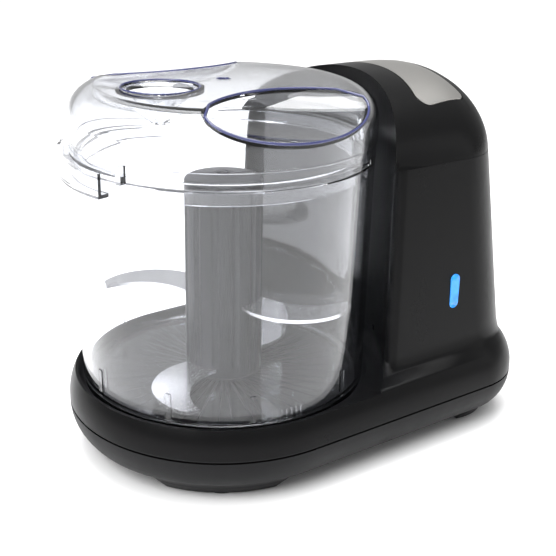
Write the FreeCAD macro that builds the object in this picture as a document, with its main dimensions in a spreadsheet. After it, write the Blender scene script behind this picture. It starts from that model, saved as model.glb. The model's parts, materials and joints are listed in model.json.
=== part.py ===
"""A one-bowl food processor: a clear bowl and lid on a low base, beside a motor tower.

Every length is in millimetres.  Z points up and the feet stand on z = 0.  X runs from the bowl to
the tower, the front of the machine looks towards -Y, and the origin is under the middle of the base.
"""

import FreeCAD
import Part
import Sketcher
import math
import os

doc = FreeCAD.newDocument("FoodProcessor")
sheet = doc.addObject("Spreadsheet::Sheet", "Sizes")

# name, value, meaning.  Heights whose name ends in _z are above the table.
DRIVING_SIZES = (
    ("bowl_radius", 54.4, "outside of the bowl at its rim"),
    ("bowl_draft", 1.0, "how much narrower the bowl is at its foot"),
    ("bowl_wall", 2.0, "bowl wall"),
    ("bowl_floor", 2.2, "bowl floor"),
    ("bowl_height", 87.3, "bowl from foot to rim"),
    ("post_bore", 9.6, "inside of the hollow post in the bowl"),
    ("post_wall", 1.8, "wall of that post"),
    ("post_height", 46.7, "post above the bowl's foot"),
    ("seat_gap", 0.3, "gap between parts that rest on each other and come apart"),
    ("part_gap", 0.5, "side gap between parts that move past each other"),
    ("running_gap", 0.05, "radial clearance of a running fit"),
    ("recess_gap", 0.9, "side gap between bowl foot and base"),
    ("base_band", 3.8, "width of the base outside the bowl's recess"),
    ("deck_z", 25.0, "top of the deck that the bowl stands on"),
    ("deck_wall", 2.0, "deck"),
    ("recess_depth", 5.0, "depth of the bowl's recess in the base"),
    ("seam_z", 19.5, "joint between lower shell and housing"),
    ("shoulder_radius", 19.3, "rounding of the base above the seam"),
    ("belly_radius", 16.0, "rounding of the lower shell"),
    ("shell_z", 7.5, "underside of the lower shell between the feet"),
    ("shell_floor", 2.0, "floor of the lower shell"),
    ("base_corner", 30.0, "corner of the base at the tower end"),
    ("wall", 2.2, "wall of the plastic casings"),
    ("foot_z", 1.0, "underside of the foot lobes"),
    ("foot_inset", 10.3, "how far a lobe's underside lies inside the seam line"),
    ("foot_depth", 15.0, "width of a lobe's underside"),
    ("pad_radius", 6.5, "rubber pad"),
    ("pad_height", 2.2, "rubber pad"),
    ("face_gap", 2.6, "gap between bowl rim and tower"),
    ("face_radius", 75.0, "hollow face of the tower towards the bowl"),
    ("face_edge", 3.0, "rounded upright edge of that face"),
    ("tower_depth", 43.0, "tower at its top, along X"),
    ("tower_splay", 11.9, "how much longer the tower is at its foot"),
    ("end_flare", 4.1, "base beyond the foot of the tower"),
    ("tower_half", 48.7, "half the tower's width at its top"),
    ("tower_lean", 2.95, "how much wider each side is at its foot"),
    ("tower_corner", 25.0, "corner of the tower at its top"),
    ("tower_foot_z", 40.0, "where the tower's walls start to flare"),
    ("flare_inset", 2.8, "foot of the flare inside the base's outline"),
    ("cap_z", 110.0, "joint between tower and cap"),
    ("arch_z", 108.0, "level from which the cap's arch springs"),
    ("cap_rise", 29.8, "cap above that level"),
    ("cap_peak", 15.5, "highest line of the cap behind the tower face"),
    ("plate_setback", 11.8, "front edge of the press plate behind the hollow face"),
    ("plate_back", 29.1, "back edge of the press plate behind the tower face"),
    ("plate_half", 36.0, "half the press plate's width at its front"),
    ("plate_taper", 2.5, "how much narrower each side of the plate is at its back"),
    ("plate_corner", 4.0, "press plate corners"),
    ("plate_thickness", 1.0, "press plate"),
    ("plate_gap", 0.4, "gap round the press plate"),
    ("carrier_thickness", 2.0, "carrier under the press plate"),
    ("button_travel", 2.5, "press"),
    ("post_setback", 20.0, "button's post behind the tower face"),
    ("button_post", 4.0, "radius of the button's post"),
    ("lid_radius", 55.0, "outside of the lid"),
    ("lid_wall", 2.0, "lid wall"),
    ("lid_band", 6.0, "lid's lower band, which is a little narrower"),
    ("lid_band_step", 0.4, "how much narrower"),
    ("lid_height", 25.7, "lid from its lower edge to its crown"),
    ("lid_rounding", 11.0, "rounding between the lid's side and crown"),
    ("lid_crown", 1.4, "rise of the crown"),
    ("lid_skirt", 5.0, "skirt of the lid inside the bowl"),
    ("grip_length", 42.0, "half length of a finger grip"),
    ("grip_width", 35.0, "half width of a finger grip"),
    ("grip_depth", 13.0, "half height of a finger grip"),
    ("grip_offset", 58.0, "finger grip's middle from the bowl's axis"),
    ("grip_lift", 1.4, "finger grip's middle above the crown"),
    ("funnel_offset", 25.4, "funnel's middle from the bowl's axis"),
    ("funnel_radius", 11.0, "funnel at the top of its cone"),
    ("funnel_rim", 13.4, "shallow ring round the funnel"),
    ("funnel_depth", 8.6, "cone of the funnel"),
    ("funnel_outlet", 1.4, "hole at the funnel's tip"),
    ("vent_radius", 2.2, "hole in the middle of the lid"),
    ("channel_reach", 4.3, "bayonet channel outside the bowl"),
    ("channel_wall", 1.3, "bayonet channel wall"),
    ("channel_drop", 5.6, "bottom of the channel below the bowl's rim"),
    ("channel_rise", 2.9, "top of the channel above the bowl's rim"),
    ("spindle_radius", 4.0, "drive spindle"),
    ("spindle_top_z", 84.0, "tip of the spindle"),
    ("spindle_flat", 6.6, "across the flats of the spindle's drive end"),
    ("bush_radius", 6.0, "outside of the spindle's bushes"),
    ("bush_length", 8.0, "spindle bush"),
    ("boss_radius", 9.0, "boss that holds the bushes"),
    ("boss_top_z", 46.0, "top of that boss"),
    ("hub_radius", 14.4, "blade hub"),
    ("hub_length", 77.0, "blade hub from foot to crown"),
    ("blade_reach", 48.6, "blade tip from the axis"),
    ("blade_thickness", 1.3, "blade"),
    ("motor_setback", 24.0, "motor axis behind the tower face"),
    ("motor_radius", 20.0, "motor can"),
    ("motor_wall", 1.2, "motor can"),
    ("motor_z", 28.0, "foot of the motor can"),
    ("motor_length", 54.0, "motor can"),
    ("shaft_radius", 2.5, "motor shaft"),
    ("belt_z", 12.8, "lower edge of the belt"),
    ("belt_width", 5.4, "belt"),
    ("belt_thickness", 1.6, "belt"),
    ("small_pulley", 6.5, "running radius of the motor pulley"),
    ("pulley_ratio", 3.0, "spindle pulley over motor pulley"),
    ("screw_radius", 1.5, "self-tapping screws"),
    ("screw_head", 3.0, "their heads"),
    ("gland_z", 14.5, "middle of the cord inlet"),
    ("gland_bore", 3.0, "cord inlet"),
    ("lens_width", 4.2, "indicator lens"),
    ("lens_height", 13.5, "indicator lens"),
    ("lens_z", 59.8, "middle of the indicator lens"),
    ("lens_setback", 13.8, "indicator lens behind the tower face"),
)


class Size:
    """A length that knows its value and the sheet expression that gives it."""

    def __init__(self, value, text=None):
        self.value = float(value)
        self.text = text or repr(float(value))

    def combine(self, other, sign, value):
        return Size(value, f"({self.text} {sign} {other.text})")

    def __add__(self, other):
        other = as_size(other)
        return self.combine(other, "+", self.value + other.value)

    def __radd__(self, other):
        return as_size(other) + self

    def __sub__(self, other):
        other = as_size(other)
        return self.combine(other, "-", self.value - other.value)

    def __rsub__(self, other):
        return as_size(other) - self

    def __mul__(self, other):
        other = as_size(other)
        return self.combine(other, "*", self.value * other.value)

    def __rmul__(self, other):
        return as_size(other) * self

    def __truediv__(self, other):
        other = as_size(other)
        return self.combine(other, "/", self.value / other.value)

    def __neg__(self):
        return Size(0) - self


def as_size(number):
    return number if isinstance(number, Size) else Size(number)


def fill_sheet():
    """Write the driving sizes into the sheet and return them by name."""
    sizes = {}
    for row, (alias, value, meaning) in enumerate(DRIVING_SIZES, 1):
        sheet.set(f"A{row}", alias)
        sheet.set(f"B{row}", str(value))
        sheet.set(f"C{row}", meaning)
        sheet.setAlias(f"B{row}", alias)
        sizes[alias] = Size(value, f"Sizes.{alias}")
    doc.recompute()
    return sizes


class Sizes:
    """The driving sizes as attributes."""

    def __init__(self, sizes):
        self.__dict__.update(sizes)


s = Sizes(fill_sheet())
subparts = []


# ---------------------------------------------------------------- building blocks

def bind(item, path, size):
    item.setExpression(path, as_size(size).text)


def place(item, x, y, z, rotation=None):
    if rotation:
        item.Placement = FreeCAD.Placement(FreeCAD.Vector(), rotation)
    for axis, size in zip("xyz", (x, y, z)):
        bind(item, f".Placement.Base.{axis}", size)
    return item


def cylinder(radius, height, x=0, y=0, z=0, rotation=None, angle=360):
    item = doc.addObject("Part::Cylinder", "Cylinder")
    bind(item, "Radius", radius)
    bind(item, "Height", height)
    item.Angle = angle
    return place(item, x, y, z, rotation)


def cone(lower, upper, height, x, y, z):
    item = doc.addObject("Part::Cone", "Cone")
    bind(item, "Radius1", lower)
    bind(item, "Radius2", upper)
    bind(item, "Height", height)
    return place(item, x, y, z)


def box(length, width, height, x, y, z, rotation=None):
    """A box with its middle at x and y, and its foot at z."""
    item = doc.addObject("Part::Box", "Box")
    bind(item, "Length", length)
    bind(item, "Width", width)
    bind(item, "Height", height)
    if rotation:
        return place(item, x, y, z, rotation)
    return place(item, as_size(x) - as_size(length) / 2, as_size(y) - as_size(width) / 2, z)


def fused(items):
    if len(items) == 1:
        return items[0]
    item = doc.addObject("Part::MultiFuse", "Fusion")
    item.Shapes = items
    return item


def cut(base, tools):
    item = doc.addObject("Part::Cut", "Cut")
    item.Base = base
    item.Tool = fused(tools)
    return item


def common(items):
    item = doc.addObject("Part::MultiCommon", "Common")
    item.Shapes = items
    return item


def group(items):
    """Separate solids that share one node."""
    item = doc.addObject("Part::Compound", "Group")
    item.Links = items
    return item


def name_part(item, label):
    item.Label = label
    subparts.append(item)
    return item


def ring(inner, outer, height, x, y, z):
    return cut(cylinder(outer, height, x, y, z),
               [cylinder(inner, as_size(height) + 2, x, y, as_size(z) - 1)])


def sector(inner, outer, height, z, first, last, x):
    """Part of a ring round the upright axis at x, between two angles in degrees."""
    turn = FreeCAD.Rotation(FreeCAD.Vector(0, 0, 1), first)
    wedge = cylinder(outer, height, x, 0, z, turn, last - first)
    return cut(wedge, [cylinder(inner, as_size(height) + 2, x, 0, as_size(z) - 1)])


def round_the_axis(angle, radius, x):
    """Point at an angle and radius round the upright axis at x."""
    turn = math.radians(angle)
    return as_size(x) + as_size(radius) * math.cos(turn), as_size(radius) * math.sin(turn)


def radial_box(angle, inner, outer, width, height, z, x):
    """A box that points away from the upright axis at x."""
    turn = math.radians(angle)
    base_x = as_size(x) + as_size(inner) * math.cos(turn) + as_size(width) / 2 * math.sin(turn)
    base_y = as_size(inner) * math.sin(turn) - as_size(width) / 2 * math.cos(turn)
    rotation = FreeCAD.Rotation(FreeCAD.Vector(0, 0, 1), angle)
    return box(as_size(outer) - inner, width, height, base_x, base_y, z, rotation)


def fix_point(sketch, edge, coordinates):
    """Hold the start of a sketch edge at two coordinates, each bound to the sheet."""
    for kind, axis, size in zip(("DistanceX", "DistanceY"), (-2, -1), coordinates):
        if abs(size.value) < 1e-9:
            sketch.addConstraint(Sketcher.Constraint("PointOnObject", edge, 1, axis))
        else:
            index = sketch.addConstraint(Sketcher.Constraint(kind, edge, 1, size.value))
            sketch.setExpression(f"Constraints[{index}]", size.text)


def sketched_body(points, plane, x, y=0, z=0, rounding=None):
    """A body with one closed, fully dimensioned outline in a plane of its own origin.

    The outline has straight edges.  With a rounding, which is the number of an edge and a radius,
    that edge is a quarter circle instead, which bulges up and away from the axis.
    """
    body = doc.addObject("PartDesign::Body", "Body")
    place(body, x, y, z)
    sketch = body.newObject("Sketcher::SketchObject", "Profile")
    support = [item for item in body.Origin.OriginFeatures if item.Role == plane][0]
    sketch.AttachmentSupport = (support, [""])
    sketch.MapMode = "FlatFace"
    points = [(as_size(a), as_size(b)) for a, b in points]
    corners = [FreeCAD.Vector(a.value, b.value, 0) for a, b in points]
    for edge, (start, end) in enumerate(zip(corners, corners[1:] + corners[:1])):
        if rounding and edge == rounding[0]:
            circle = Part.Circle(FreeCAD.Vector(end.x, start.y, 0), FreeCAD.Vector(0, 0, 1),
                                 rounding[1].value)
            sketch.addGeometry(Part.ArcOfCircle(circle, 0, math.pi / 2), False)
        else:
            sketch.addGeometry(Part.LineSegment(start, end), False)
    for edge in range(len(corners)):
        following = (edge + 1) % len(corners)
        sketch.addConstraint(Sketcher.Constraint("Coincident", edge, 2, following, 1))
    for edge, coordinates in enumerate(points):
        fix_point(sketch, edge, coordinates)
    if rounding:
        edge, radius = rounding
        index = sketch.addConstraint(Sketcher.Constraint("Radius", edge, radius.value))
        sketch.setExpression(f"Constraints[{index}]", radius.text)
    return body, sketch


def turned(points, x, y=0, rounding=None):
    """A body turned round the upright axis at x and y.  Points are radius and height."""
    body, sketch = sketched_body(points, "XZ_Plane", x, y, rounding=rounding)
    feature = body.newObject("PartDesign::Revolution", "Turning")
    feature.Profile = sketch
    feature.ReferenceAxis = (sketch, ["V_Axis"])
    feature.Angle = 360
    return body


def rounded(item, radius, wanted):
    """Round the edges that pass a test."""
    doc.recompute()
    numbers = [i for i, edge in enumerate(item.Shape.Edges, 1) if wanted(edge)]
    if not numbers:
        raise RuntimeError("no edge to round on " + item.Name)
    fillet = doc.addObject("Part::Fillet", "Fillet")
    fillet.Base = item
    fillet.Edges = [(number, radius.value, radius.value) for number in numbers]
    return fillet


def free_shape(shape):
    item = doc.addObject("Part::Feature", "Shape")
    item.Shape = shape
    return item


ALONG_X = FreeCAD.Rotation(FreeCAD.Vector(0, 1, 0), 90)
ALONG_Y = FreeCAD.Rotation(FreeCAD.Vector(1, 0, 0), -90)

# ---------------------------------------------------------------- places that follow from the sizes

recess_radius = s.bowl_radius + s.recess_gap
half_width = recess_radius + s.base_band
tower_face = s.bowl_radius + s.face_gap
tower_end = tower_face + s.tower_depth
tower_foot_end = tower_end + s.tower_splay
base_end = tower_foot_end + s.end_flare
bowl_x = (half_width - base_end) / 2
face_x = bowl_x + tower_face
face_centre_x = face_x - s.face_radius
motor_x = face_x + s.motor_setback
lip_z = s.deck_z + s.recess_depth
bowl_z = s.deck_z + s.seat_gap
rim_z = bowl_z + s.bowl_height
lid_z = rim_z + s.seat_gap
lid_top_z = lid_z + s.lid_height
shell_floor_z = s.shell_z + s.shell_floor
deck_under_z = s.deck_z - s.deck_wall
cap_peak_x = face_x + s.cap_peak
cap_top_z = s.arch_z + s.cap_rise


# ---------------------------------------------------------------- outlines of the casings

def vector(x, y, z):
    return FreeCAD.Vector(x, y, z)


def line(start, end):
    return Part.LineSegment(start, end).toShape()


def arc(centre, radius, first, last):
    """An arc in a level plane, from one angle to another, in degrees."""
    points = []
    for turn in (first, (first + last) / 2, last):
        angle = math.radians(turn)
        points.append(centre + vector(radius * math.cos(angle), radius * math.sin(angle), 0))
    return Part.Arc(*points).toShape()


def base_outline(inset, z):
    """Plan of the base: half a circle round the bowl and a rounded square end."""
    radius = half_width.value - inset
    corner = s.base_corner.value - inset
    left = bowl_x.value
    end = bowl_x.value + base_end.value - inset
    middle_x = end - corner
    middle_y = radius - corner
    return Part.Wire([
        arc(vector(left, 0, z), radius, 90, 270),
        line(vector(left, -radius, z), vector(middle_x, -radius, z)),
        arc(vector(middle_x, -middle_y, z), corner, -90, 0),
        line(vector(end, -middle_y, z), vector(end, middle_y, z)),
        arc(vector(middle_x, middle_y, z), corner, 0, 90),
        line(vector(middle_x, radius, z), vector(left, radius, z)),
    ])


def base_slab(inset, rounding, upwards):
    """The base on one side of its seam, rounded away from it."""
    depth = (rounding + 1) * (1 if upwards else -1)
    face = Part.Face(base_outline(inset, s.seam_z.value))
    solid = face.extrude(vector(0, 0, depth))
    far = s.seam_z.value + depth
    edges = [e for e in solid.Edges if e.BoundBox.ZLength < 1e-6 and abs(e.BoundBox.ZMin - far) < 1e-3]
    return solid.makeFillet(rounding, edges)


def tower_outline(half, end, corner, inset, z):
    """Plan of the tower: a hollow face towards the bowl and two rounded corners."""
    face_radius = s.face_radius.value + inset
    edge = s.face_edge.value if inset == 0 else s.face_edge.value / 3
    half = half - inset
    end = end - inset
    corner = corner - inset
    centre = vector(face_centre_x.value, 0, z)
    edge_y = half - edge
    edge_x = centre.x + math.sqrt((face_radius + edge) ** 2 - edge_y ** 2)
    lean = math.degrees(math.asin(edge_y / (face_radius + edge)))
    middle_x = end - corner
    middle_y = half - corner
    return Part.Wire([
        arc(centre, face_radius, lean, -lean),
        arc(vector(edge_x, -edge_y, z), edge, 180 - lean, 270),
        line(vector(edge_x, -half, z), vector(middle_x, -half, z)),
        arc(vector(middle_x, -middle_y, z), corner, -90, 0),
        line(vector(end, -middle_y, z), vector(end, middle_y, z)),
        arc(vector(middle_x, middle_y, z), corner, 0, 90),
        line(vector(middle_x, half, z), vector(edge_x, half, z)),
        arc(vector(edge_x, edge_y, z), edge, 90, 180 + lean),
    ])


def smooth_step(start, start_slope, end, end_slope, span, share):
    """A curve that leaves one value and reaches another at given slopes."""
    cube = share ** 3
    square = share ** 2
    return ((2 * cube - 3 * square + 1) * start + (cube - 2 * square + share) * start_slope * span
            + (3 * square - 2 * cube) * end + (cube - square) * end_slope * span)


flare_foot_z = s.seam_z + 3


def tower_section(z, inset):
    """The tower's plan at a height, flared below the foot of its walls."""
    foot = s.tower_foot_z.value
    height = s.cap_z.value - foot
    share = (s.cap_z.value - z) / height
    half_slope = -s.tower_lean.value / height
    end_slope = -s.tower_splay.value / height
    top_end = bowl_x.value + tower_end.value
    if z >= foot:
        half = s.tower_half.value + s.tower_lean.value * share
        end = top_end + s.tower_splay.value * share
    else:
        start = flare_foot_z.value
        along = (z - start) / (foot - start)
        half = smooth_step(half_width.value - s.flare_inset.value, 0,
                           s.tower_half.value + s.tower_lean.value, half_slope, foot - start, along)
        end = smooth_step(bowl_x.value + base_end.value - s.flare_inset.value, 0,
                          top_end + s.tower_splay.value, end_slope, foot - start, along)
    corner = s.tower_corner.value + (s.base_corner.value - s.tower_corner.value) * min(share, 1.25) / 2
    return tower_outline(half, end, corner, inset, z)


def tower_solid(inset, top):
    """The tower from just above the seam to a height."""
    start = flare_foot_z.value
    foot = s.tower_foot_z.value
    steps = 6
    flare = [tower_section(start + (foot - start) * i / (steps - 1), inset) for i in range(steps)]
    lower = Part.makeLoft(flare, True, False)
    upper = Part.makeLoft([tower_section(foot, inset), tower_section(top, inset)], True, True)
    return lower.fuse(upper)


def cap_half(x, inset):
    """Half the cap's width at a place along X."""
    half = s.tower_half.value - inset
    corner = s.tower_corner.value - inset
    middle = bowl_x.value + tower_end.value - s.tower_corner.value
    if x <= middle:
        return half
    return half - corner + math.sqrt(max(corner ** 2 - (x - middle) ** 2, 0.0))


def cap_height(x, inset):
    """Height of the cap's crown above the arch's spring line at a place along X."""
    rise = s.cap_rise.value - inset
    peak = cap_peak_x.value
    if x <= peak:
        return rise
    reach = bowl_x.value + tower_end.value - inset - peak
    power = 3.8
    return rise * max(1 - ((x - peak) / reach) ** power, 0.0) ** (1 / power)


def cap_arch(x, inset):
    """One closed section of the cap: half an ellipse on a straight foot."""
    spring = s.arch_z.value
    side = vector(x, cap_half(x, inset), spring)
    crown = vector(x, 0, spring + cap_height(x, inset))
    ellipse = Part.Ellipse(side, crown, vector(x, 0, spring))
    arch = Part.ArcOfEllipse(ellipse, 0, math.pi).toShape()
    first, last = [vertex.Point for vertex in arch.Vertexes]
    return Part.Wire([arch, line(last, first)])


def cap_solid(inset):
    """The cap's bulk, still closed and without its hollow face."""
    start = bowl_x.value + s.bowl_radius.value / 2
    peak = cap_peak_x.value
    reach = bowl_x.value + tower_end.value - inset - peak
    face_steps = 3
    end_steps = 9
    places = [start]
    places += [face_x.value + (peak - face_x.value) * i / face_steps for i in range(face_steps)]
    for i in range(end_steps + 1):
        places.append(peak + reach * math.sin(math.radians(86 * i / end_steps)))
    return Part.makeLoft([cap_arch(x, inset) for x in places], True, True)


# ---------------------------------------------------------------- base: lower shell and its feet

bowl_screw_x = bowl_x - recess_radius * 0.72
side_screw_x = face_x + 3
side_screw_y = half_width - 15.1
end_screw_x = bowl_x + base_end - 11
SCREW_PLACES = (
    (bowl_screw_x, Size(13)),
    (bowl_screw_x, Size(-13)),
    (side_screw_x, side_screw_y),
    (side_screw_x, -side_screw_y),
    (end_screw_x, Size(14)),
    (end_screw_x, Size(-14)),
)
MOTOR_POST_PLACES = ((-15.0, 24.0), (-15.0, -24.0), (15.0, 24.0), (15.0, -24.0))
screw_head_z = s.shell_z + 1.5
screw_head_height = Size(2.5)
shell_boss_top_z = s.seam_z - 5.5
motor_post_top_z = s.motor_z - 6
BOWL_LOBE_ANGLES = (-124.0, 124.0)
lobe_top_z = s.shell_z + 2.6


def lobe_ring(outer_low, x, y):
    """A ring with a sloping outside, from which foot lobes are cut."""
    slope = (s.foot_inset - 4.7) / s.shell_z
    rise = lobe_top_z - s.foot_z
    return turned([
        (outer_low - s.foot_depth, s.foot_z),
        (outer_low, s.foot_z),
        (outer_low + slope * rise, lobe_top_z),
        (outer_low - s.foot_depth - 3, lobe_top_z),
    ], x, y)


def lobe_wedge(x, y, middle, spread, reach):
    """A wedge that widens upwards, so that a lobe's ends slope."""
    wires = []
    for z, half_angle in ((s.foot_z.value - 0.5, spread - 5), (lobe_top_z.value + 0.5, spread + 3)):
        corners = [vector(x, y, z)]
        for turn in (middle - half_angle, middle, middle + half_angle):
            angle = math.radians(turn)
            corners.append(vector(x + reach * math.cos(angle), y + reach * math.sin(angle), z))
        wires.append(Part.makePolygon(corners + corners[:1]))
    return free_shape(Part.makeLoft(wires, True, True))


def foot_lobes():
    lobes = []
    outer = half_width - s.foot_inset
    for angle in BOWL_LOBE_ANGLES:
        wedge = lobe_wedge(bowl_x.value, 0, angle, 28, 120)
        lobes.append(common([lobe_ring(outer, bowl_x, 0), wedge]))
    corner_outer = s.base_corner - s.foot_inset
    corner_x = bowl_x + base_end - s.base_corner
    for side in (-1, 1):
        corner_y = (half_width - s.base_corner) * side
        disc = turned([
            (0, s.foot_z),
            (corner_outer, s.foot_z),
            (corner_outer + 5.5, lobe_top_z),
            (0, lobe_top_z),
        ], corner_x, corner_y)
        wedge = lobe_wedge(corner_x.value - 4, corner_y.value - 4 * side, 45 * side, 52, 90)
        lobes.append(common([disc, wedge]))
    return lobes


def pad_places():
    radius = half_width - s.foot_inset - s.foot_depth / 2
    places = [round_the_axis(angle, radius, bowl_x) for angle in BOWL_LOBE_ANGLES]
    corner_x = bowl_x + base_end - s.base_corner
    shift = (s.base_corner - s.foot_inset - s.pad_radius - 1) * 0.707
    for side in (-1, 1):
        places.append((corner_x + shift, (half_width - s.base_corner + shift) * side))
    return places


def build_lower_shell():
    outer = base_slab(0, s.belly_radius.value, False)
    inner = base_slab(s.wall.value, s.belly_radius.value - s.wall.value, False)
    shell = cut(free_shape(outer), [box(400, 400, 20, 0, 0, s.shell_z - 20)])
    hollow = cut(free_shape(inner), [box(400, 400, 20, 0, 0, shell_floor_z - 20)])
    additions = [cut(shell, [hollow])] + foot_lobes()
    for x, y in SCREW_PLACES:
        height = shell_boss_top_z - shell_floor_z + 1
        additions.append(cylinder(5, height, x, y, shell_floor_z - 1))
    for along, across in MOTOR_POST_PLACES:
        height = motor_post_top_z - shell_floor_z + 1
        additions.append(cylinder(4, height, motor_x + along, across, shell_floor_z - 1))
    holes = []
    for x, y in SCREW_PLACES:
        holes.append(cylinder(s.screw_head + 0.3, 20, x, y, screw_head_z + screw_head_height - 20))
        holes.append(cylinder(s.screw_radius + 0.2, 30, x, y, s.shell_z))
    for along, across in MOTOR_POST_PLACES:
        depth = motor_post_top_z - s.motor_z + 14
        holes.append(cylinder(s.screw_radius, depth + 1, motor_x + along, across, s.motor_z - 14))
    for x, y in pad_places():
        holes.append(cylinder(s.pad_radius, s.pad_height + 1, x, y, -1))
    gland_x = bowl_x + base_end - 12
    holes.append(cylinder(s.gland_bore + 1.3, 30, gland_x, 0, s.gland_z, ALONG_X))
    for row in range(7):
        x = motor_x + (row - 3) * 4.5
        holes.append(box(2, 22, 10, x, 0, s.shell_z - 1))
    name_part(cut(fused(additions), holes), "lower_shell")
    pads = [cylinder(s.pad_radius, s.pad_height, x, y, 0) for x, y in pad_places()]
    name_part(group(pads), "rubber_feet")
    screws = []
    for x, y in SCREW_PLACES:
        shank = cylinder(s.screw_radius, 12, x, y, screw_head_z + screw_head_height)
        screws.append(fused([cylinder(s.screw_head, screw_head_height, x, y, screw_head_z), shank]))
    name_part(group(screws), "base_screws")


def build_cord_gland():
    x = bowl_x + base_end
    body = cylinder(s.gland_bore + 1.3, 7, x - 7.6, 0, s.gland_z, ALONG_X)
    flange = cylinder(s.gland_bore + 1.9, 2, x - 9, 0, s.gland_z, ALONG_X)
    bore = cylinder(s.gland_bore, 20, x - 15, 0, s.gland_z, ALONG_X)
    name_part(cut(fused([body, flange]), [bore]), "cord_gland")


# ---------------------------------------------------------------- housing: upper base and tower

face_screw_x = face_x + 3
face_screw_y = s.tower_half - 17.7
back_screw_x = bowl_x + tower_end - 8
back_screw_y = s.tower_half - 28.7
CAP_SCREW_PLACES = (
    (face_screw_x, face_screw_y),
    (face_screw_x, -face_screw_y),
    (back_screw_x, back_screw_y),
    (back_screw_x, -back_screw_y),
)
board_x = face_x + 14.5
BOARD_BOSS_PLACES = ((board_x - 7.5, 55.0), (board_x + 7.5, 83.0))
cap_boss_z = s.cap_z - 13
bracket_z = s.motor_z + s.motor_length + 8
bush_foot_z = deck_under_z - 2
bracket_thickness = Size(2)
BRACKET_SCREW_PLACES = (
    (face_x + s.wall + 2.4, Size(8)),
    (bowl_x + tower_end + 0.6 - s.wall, Size(-8)),
)
board_y = s.tower_half - 14.7
lamp_board_y = s.tower_half - 5.7


def build_housing():
    outer_slab = free_shape(base_slab(0, s.shoulder_radius.value, True))
    above_lip = cylinder(s.face_radius, 60, face_centre_x, 0, lip_z)
    inner_slab = free_shape(base_slab(s.wall.value, s.shoulder_radius.value - s.wall.value, True))
    low_hollow = cut(inner_slab, [box(400, 400, 60, 0, 0, deck_under_z)])
    tower_hollow = free_shape(tower_solid(s.wall.value, s.cap_z.value + 2))
    recess = cylinder(recess_radius, 200, bowl_x, 0, s.deck_z)
    base_skin = cut(cut(outer_slab, [above_lip]), [low_hollow])
    outer = fused([base_skin, free_shape(tower_solid(0, s.cap_z.value))])
    casing = cut(cut(outer, [tower_hollow]), [recess])
    additions = [casing]
    additions.append(cylinder(s.boss_radius, s.boss_top_z - bush_foot_z, bowl_x, 0, bush_foot_z))
    for x, y in SCREW_PLACES:
        foot = shell_boss_top_z + s.seat_gap
        top = s.deck_z - 1 if x.value < bowl_x.value else lip_z
        additions.append(cylinder(3.6, top - foot, x, y, foot))
    web_z = s.seam_z + 0.5
    web_height = lip_z - web_z
    web_length = half_width - side_screw_y - 3.6
    end_web = Size(6)
    for side in (-1, 1):
        web_y = (side_screw_y + web_length / 2) * side
        additions.append(box(2, web_length, web_height, side_screw_x, web_y, web_z))
        additions.append(box(end_web, 2, web_height, end_screw_x + end_web / 2, 14 * side, web_z))
    for x, y in CAP_SCREW_PLACES:
        additions.append(cylinder(3.4, s.cap_z - cap_boss_z, x, y, cap_boss_z))
    for side in (-1, 1):
        height = s.cap_z - cap_boss_z
        additions.append(box(7, 2, height, face_screw_x - 4, face_screw_y * side, cap_boss_z))
        additions.append(box(5, 2, height, bowl_x + tower_end - 3.8, back_screw_y * side, cap_boss_z))
    for x, length in ((face_x + s.wall + 1.2, 3.6), (bowl_x + tower_end + 2.1 - s.wall, 4.8)):
        additions.append(box(length, 20, 4, x, 0, bracket_z - 4))
    for x, z in BOARD_BOSS_PLACES:
        length = s.tower_half + 0.8 - board_y - 1.6
        additions.append(cylinder(2.6, length, x, board_y + 1.6, z, ALONG_Y))
    for side in (-1, 1):
        length = s.tower_half - lamp_board_y + 0.8
        x = face_x + s.lens_setback + 5 * side
        additions.append(cylinder(1.6, length, x, -s.tower_half - 0.8, s.lens_z + 7 * side, ALONG_Y))
    holes = [cylinder(s.bush_radius, s.bush_length + 1, bowl_x, 0, bush_foot_z - 1)]
    holes.append(cylinder(s.bush_radius, s.bush_length, bowl_x, 0, s.boss_top_z - s.bush_length))
    holes.append(cylinder(s.spindle_radius + 1, 60, bowl_x, 0, bush_foot_z - 1))
    for x, y in SCREW_PLACES:
        holes.append(cylinder(s.screw_radius, 9.5, x, y, shell_boss_top_z))
    for x, y in CAP_SCREW_PLACES:
        holes.append(cylinder(1.4, 12, x, y, s.cap_z - 11))
    for x, y in BRACKET_SCREW_PLACES:
        holes.append(cylinder(1.2, 5, x, y, bracket_z - 4.5))
    holes.append(lens_shape(0.1, 12, -s.tower_half - 8))
    name_part(cut(fused(additions), holes), "main_housing")


def lens_shape(clearance, length, y):
    """The pill shape of the indicator lens, along Y."""
    radius = s.lens_width / 2 + clearance
    straight = s.lens_height - s.lens_width
    x = face_x + s.lens_setback
    parts = [box(radius * 2, length, straight, x, y + as_size(length) / 2, s.lens_z - straight / 2)]
    for side in (-1, 1):
        parts.append(cylinder(radius, length, x, y, s.lens_z + straight / 2 * side, ALONG_Y))
    return fused(parts)


def build_lamp():
    """The lens, its lamp and the small board behind it."""
    lean = s.tower_lean * (s.cap_z - s.lens_z) / (s.cap_z - s.tower_foot_z)
    name_part(lens_shape(0, 3.6, -s.tower_half - lean - 0.3), "indicator_lens")
    x = face_x + s.lens_setback
    name_part(box(16, 1.6, 22, x, -lamp_board_y + 1.3, s.lens_z - 11), "indicator_board")
    lamp = cylinder(1.5, 3.6, x, -lamp_board_y - 3.1, s.lens_z, ALONG_Y)
    name_part(lamp, "indicator_lamp")


# ---------------------------------------------------------------- cap and press button

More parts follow.
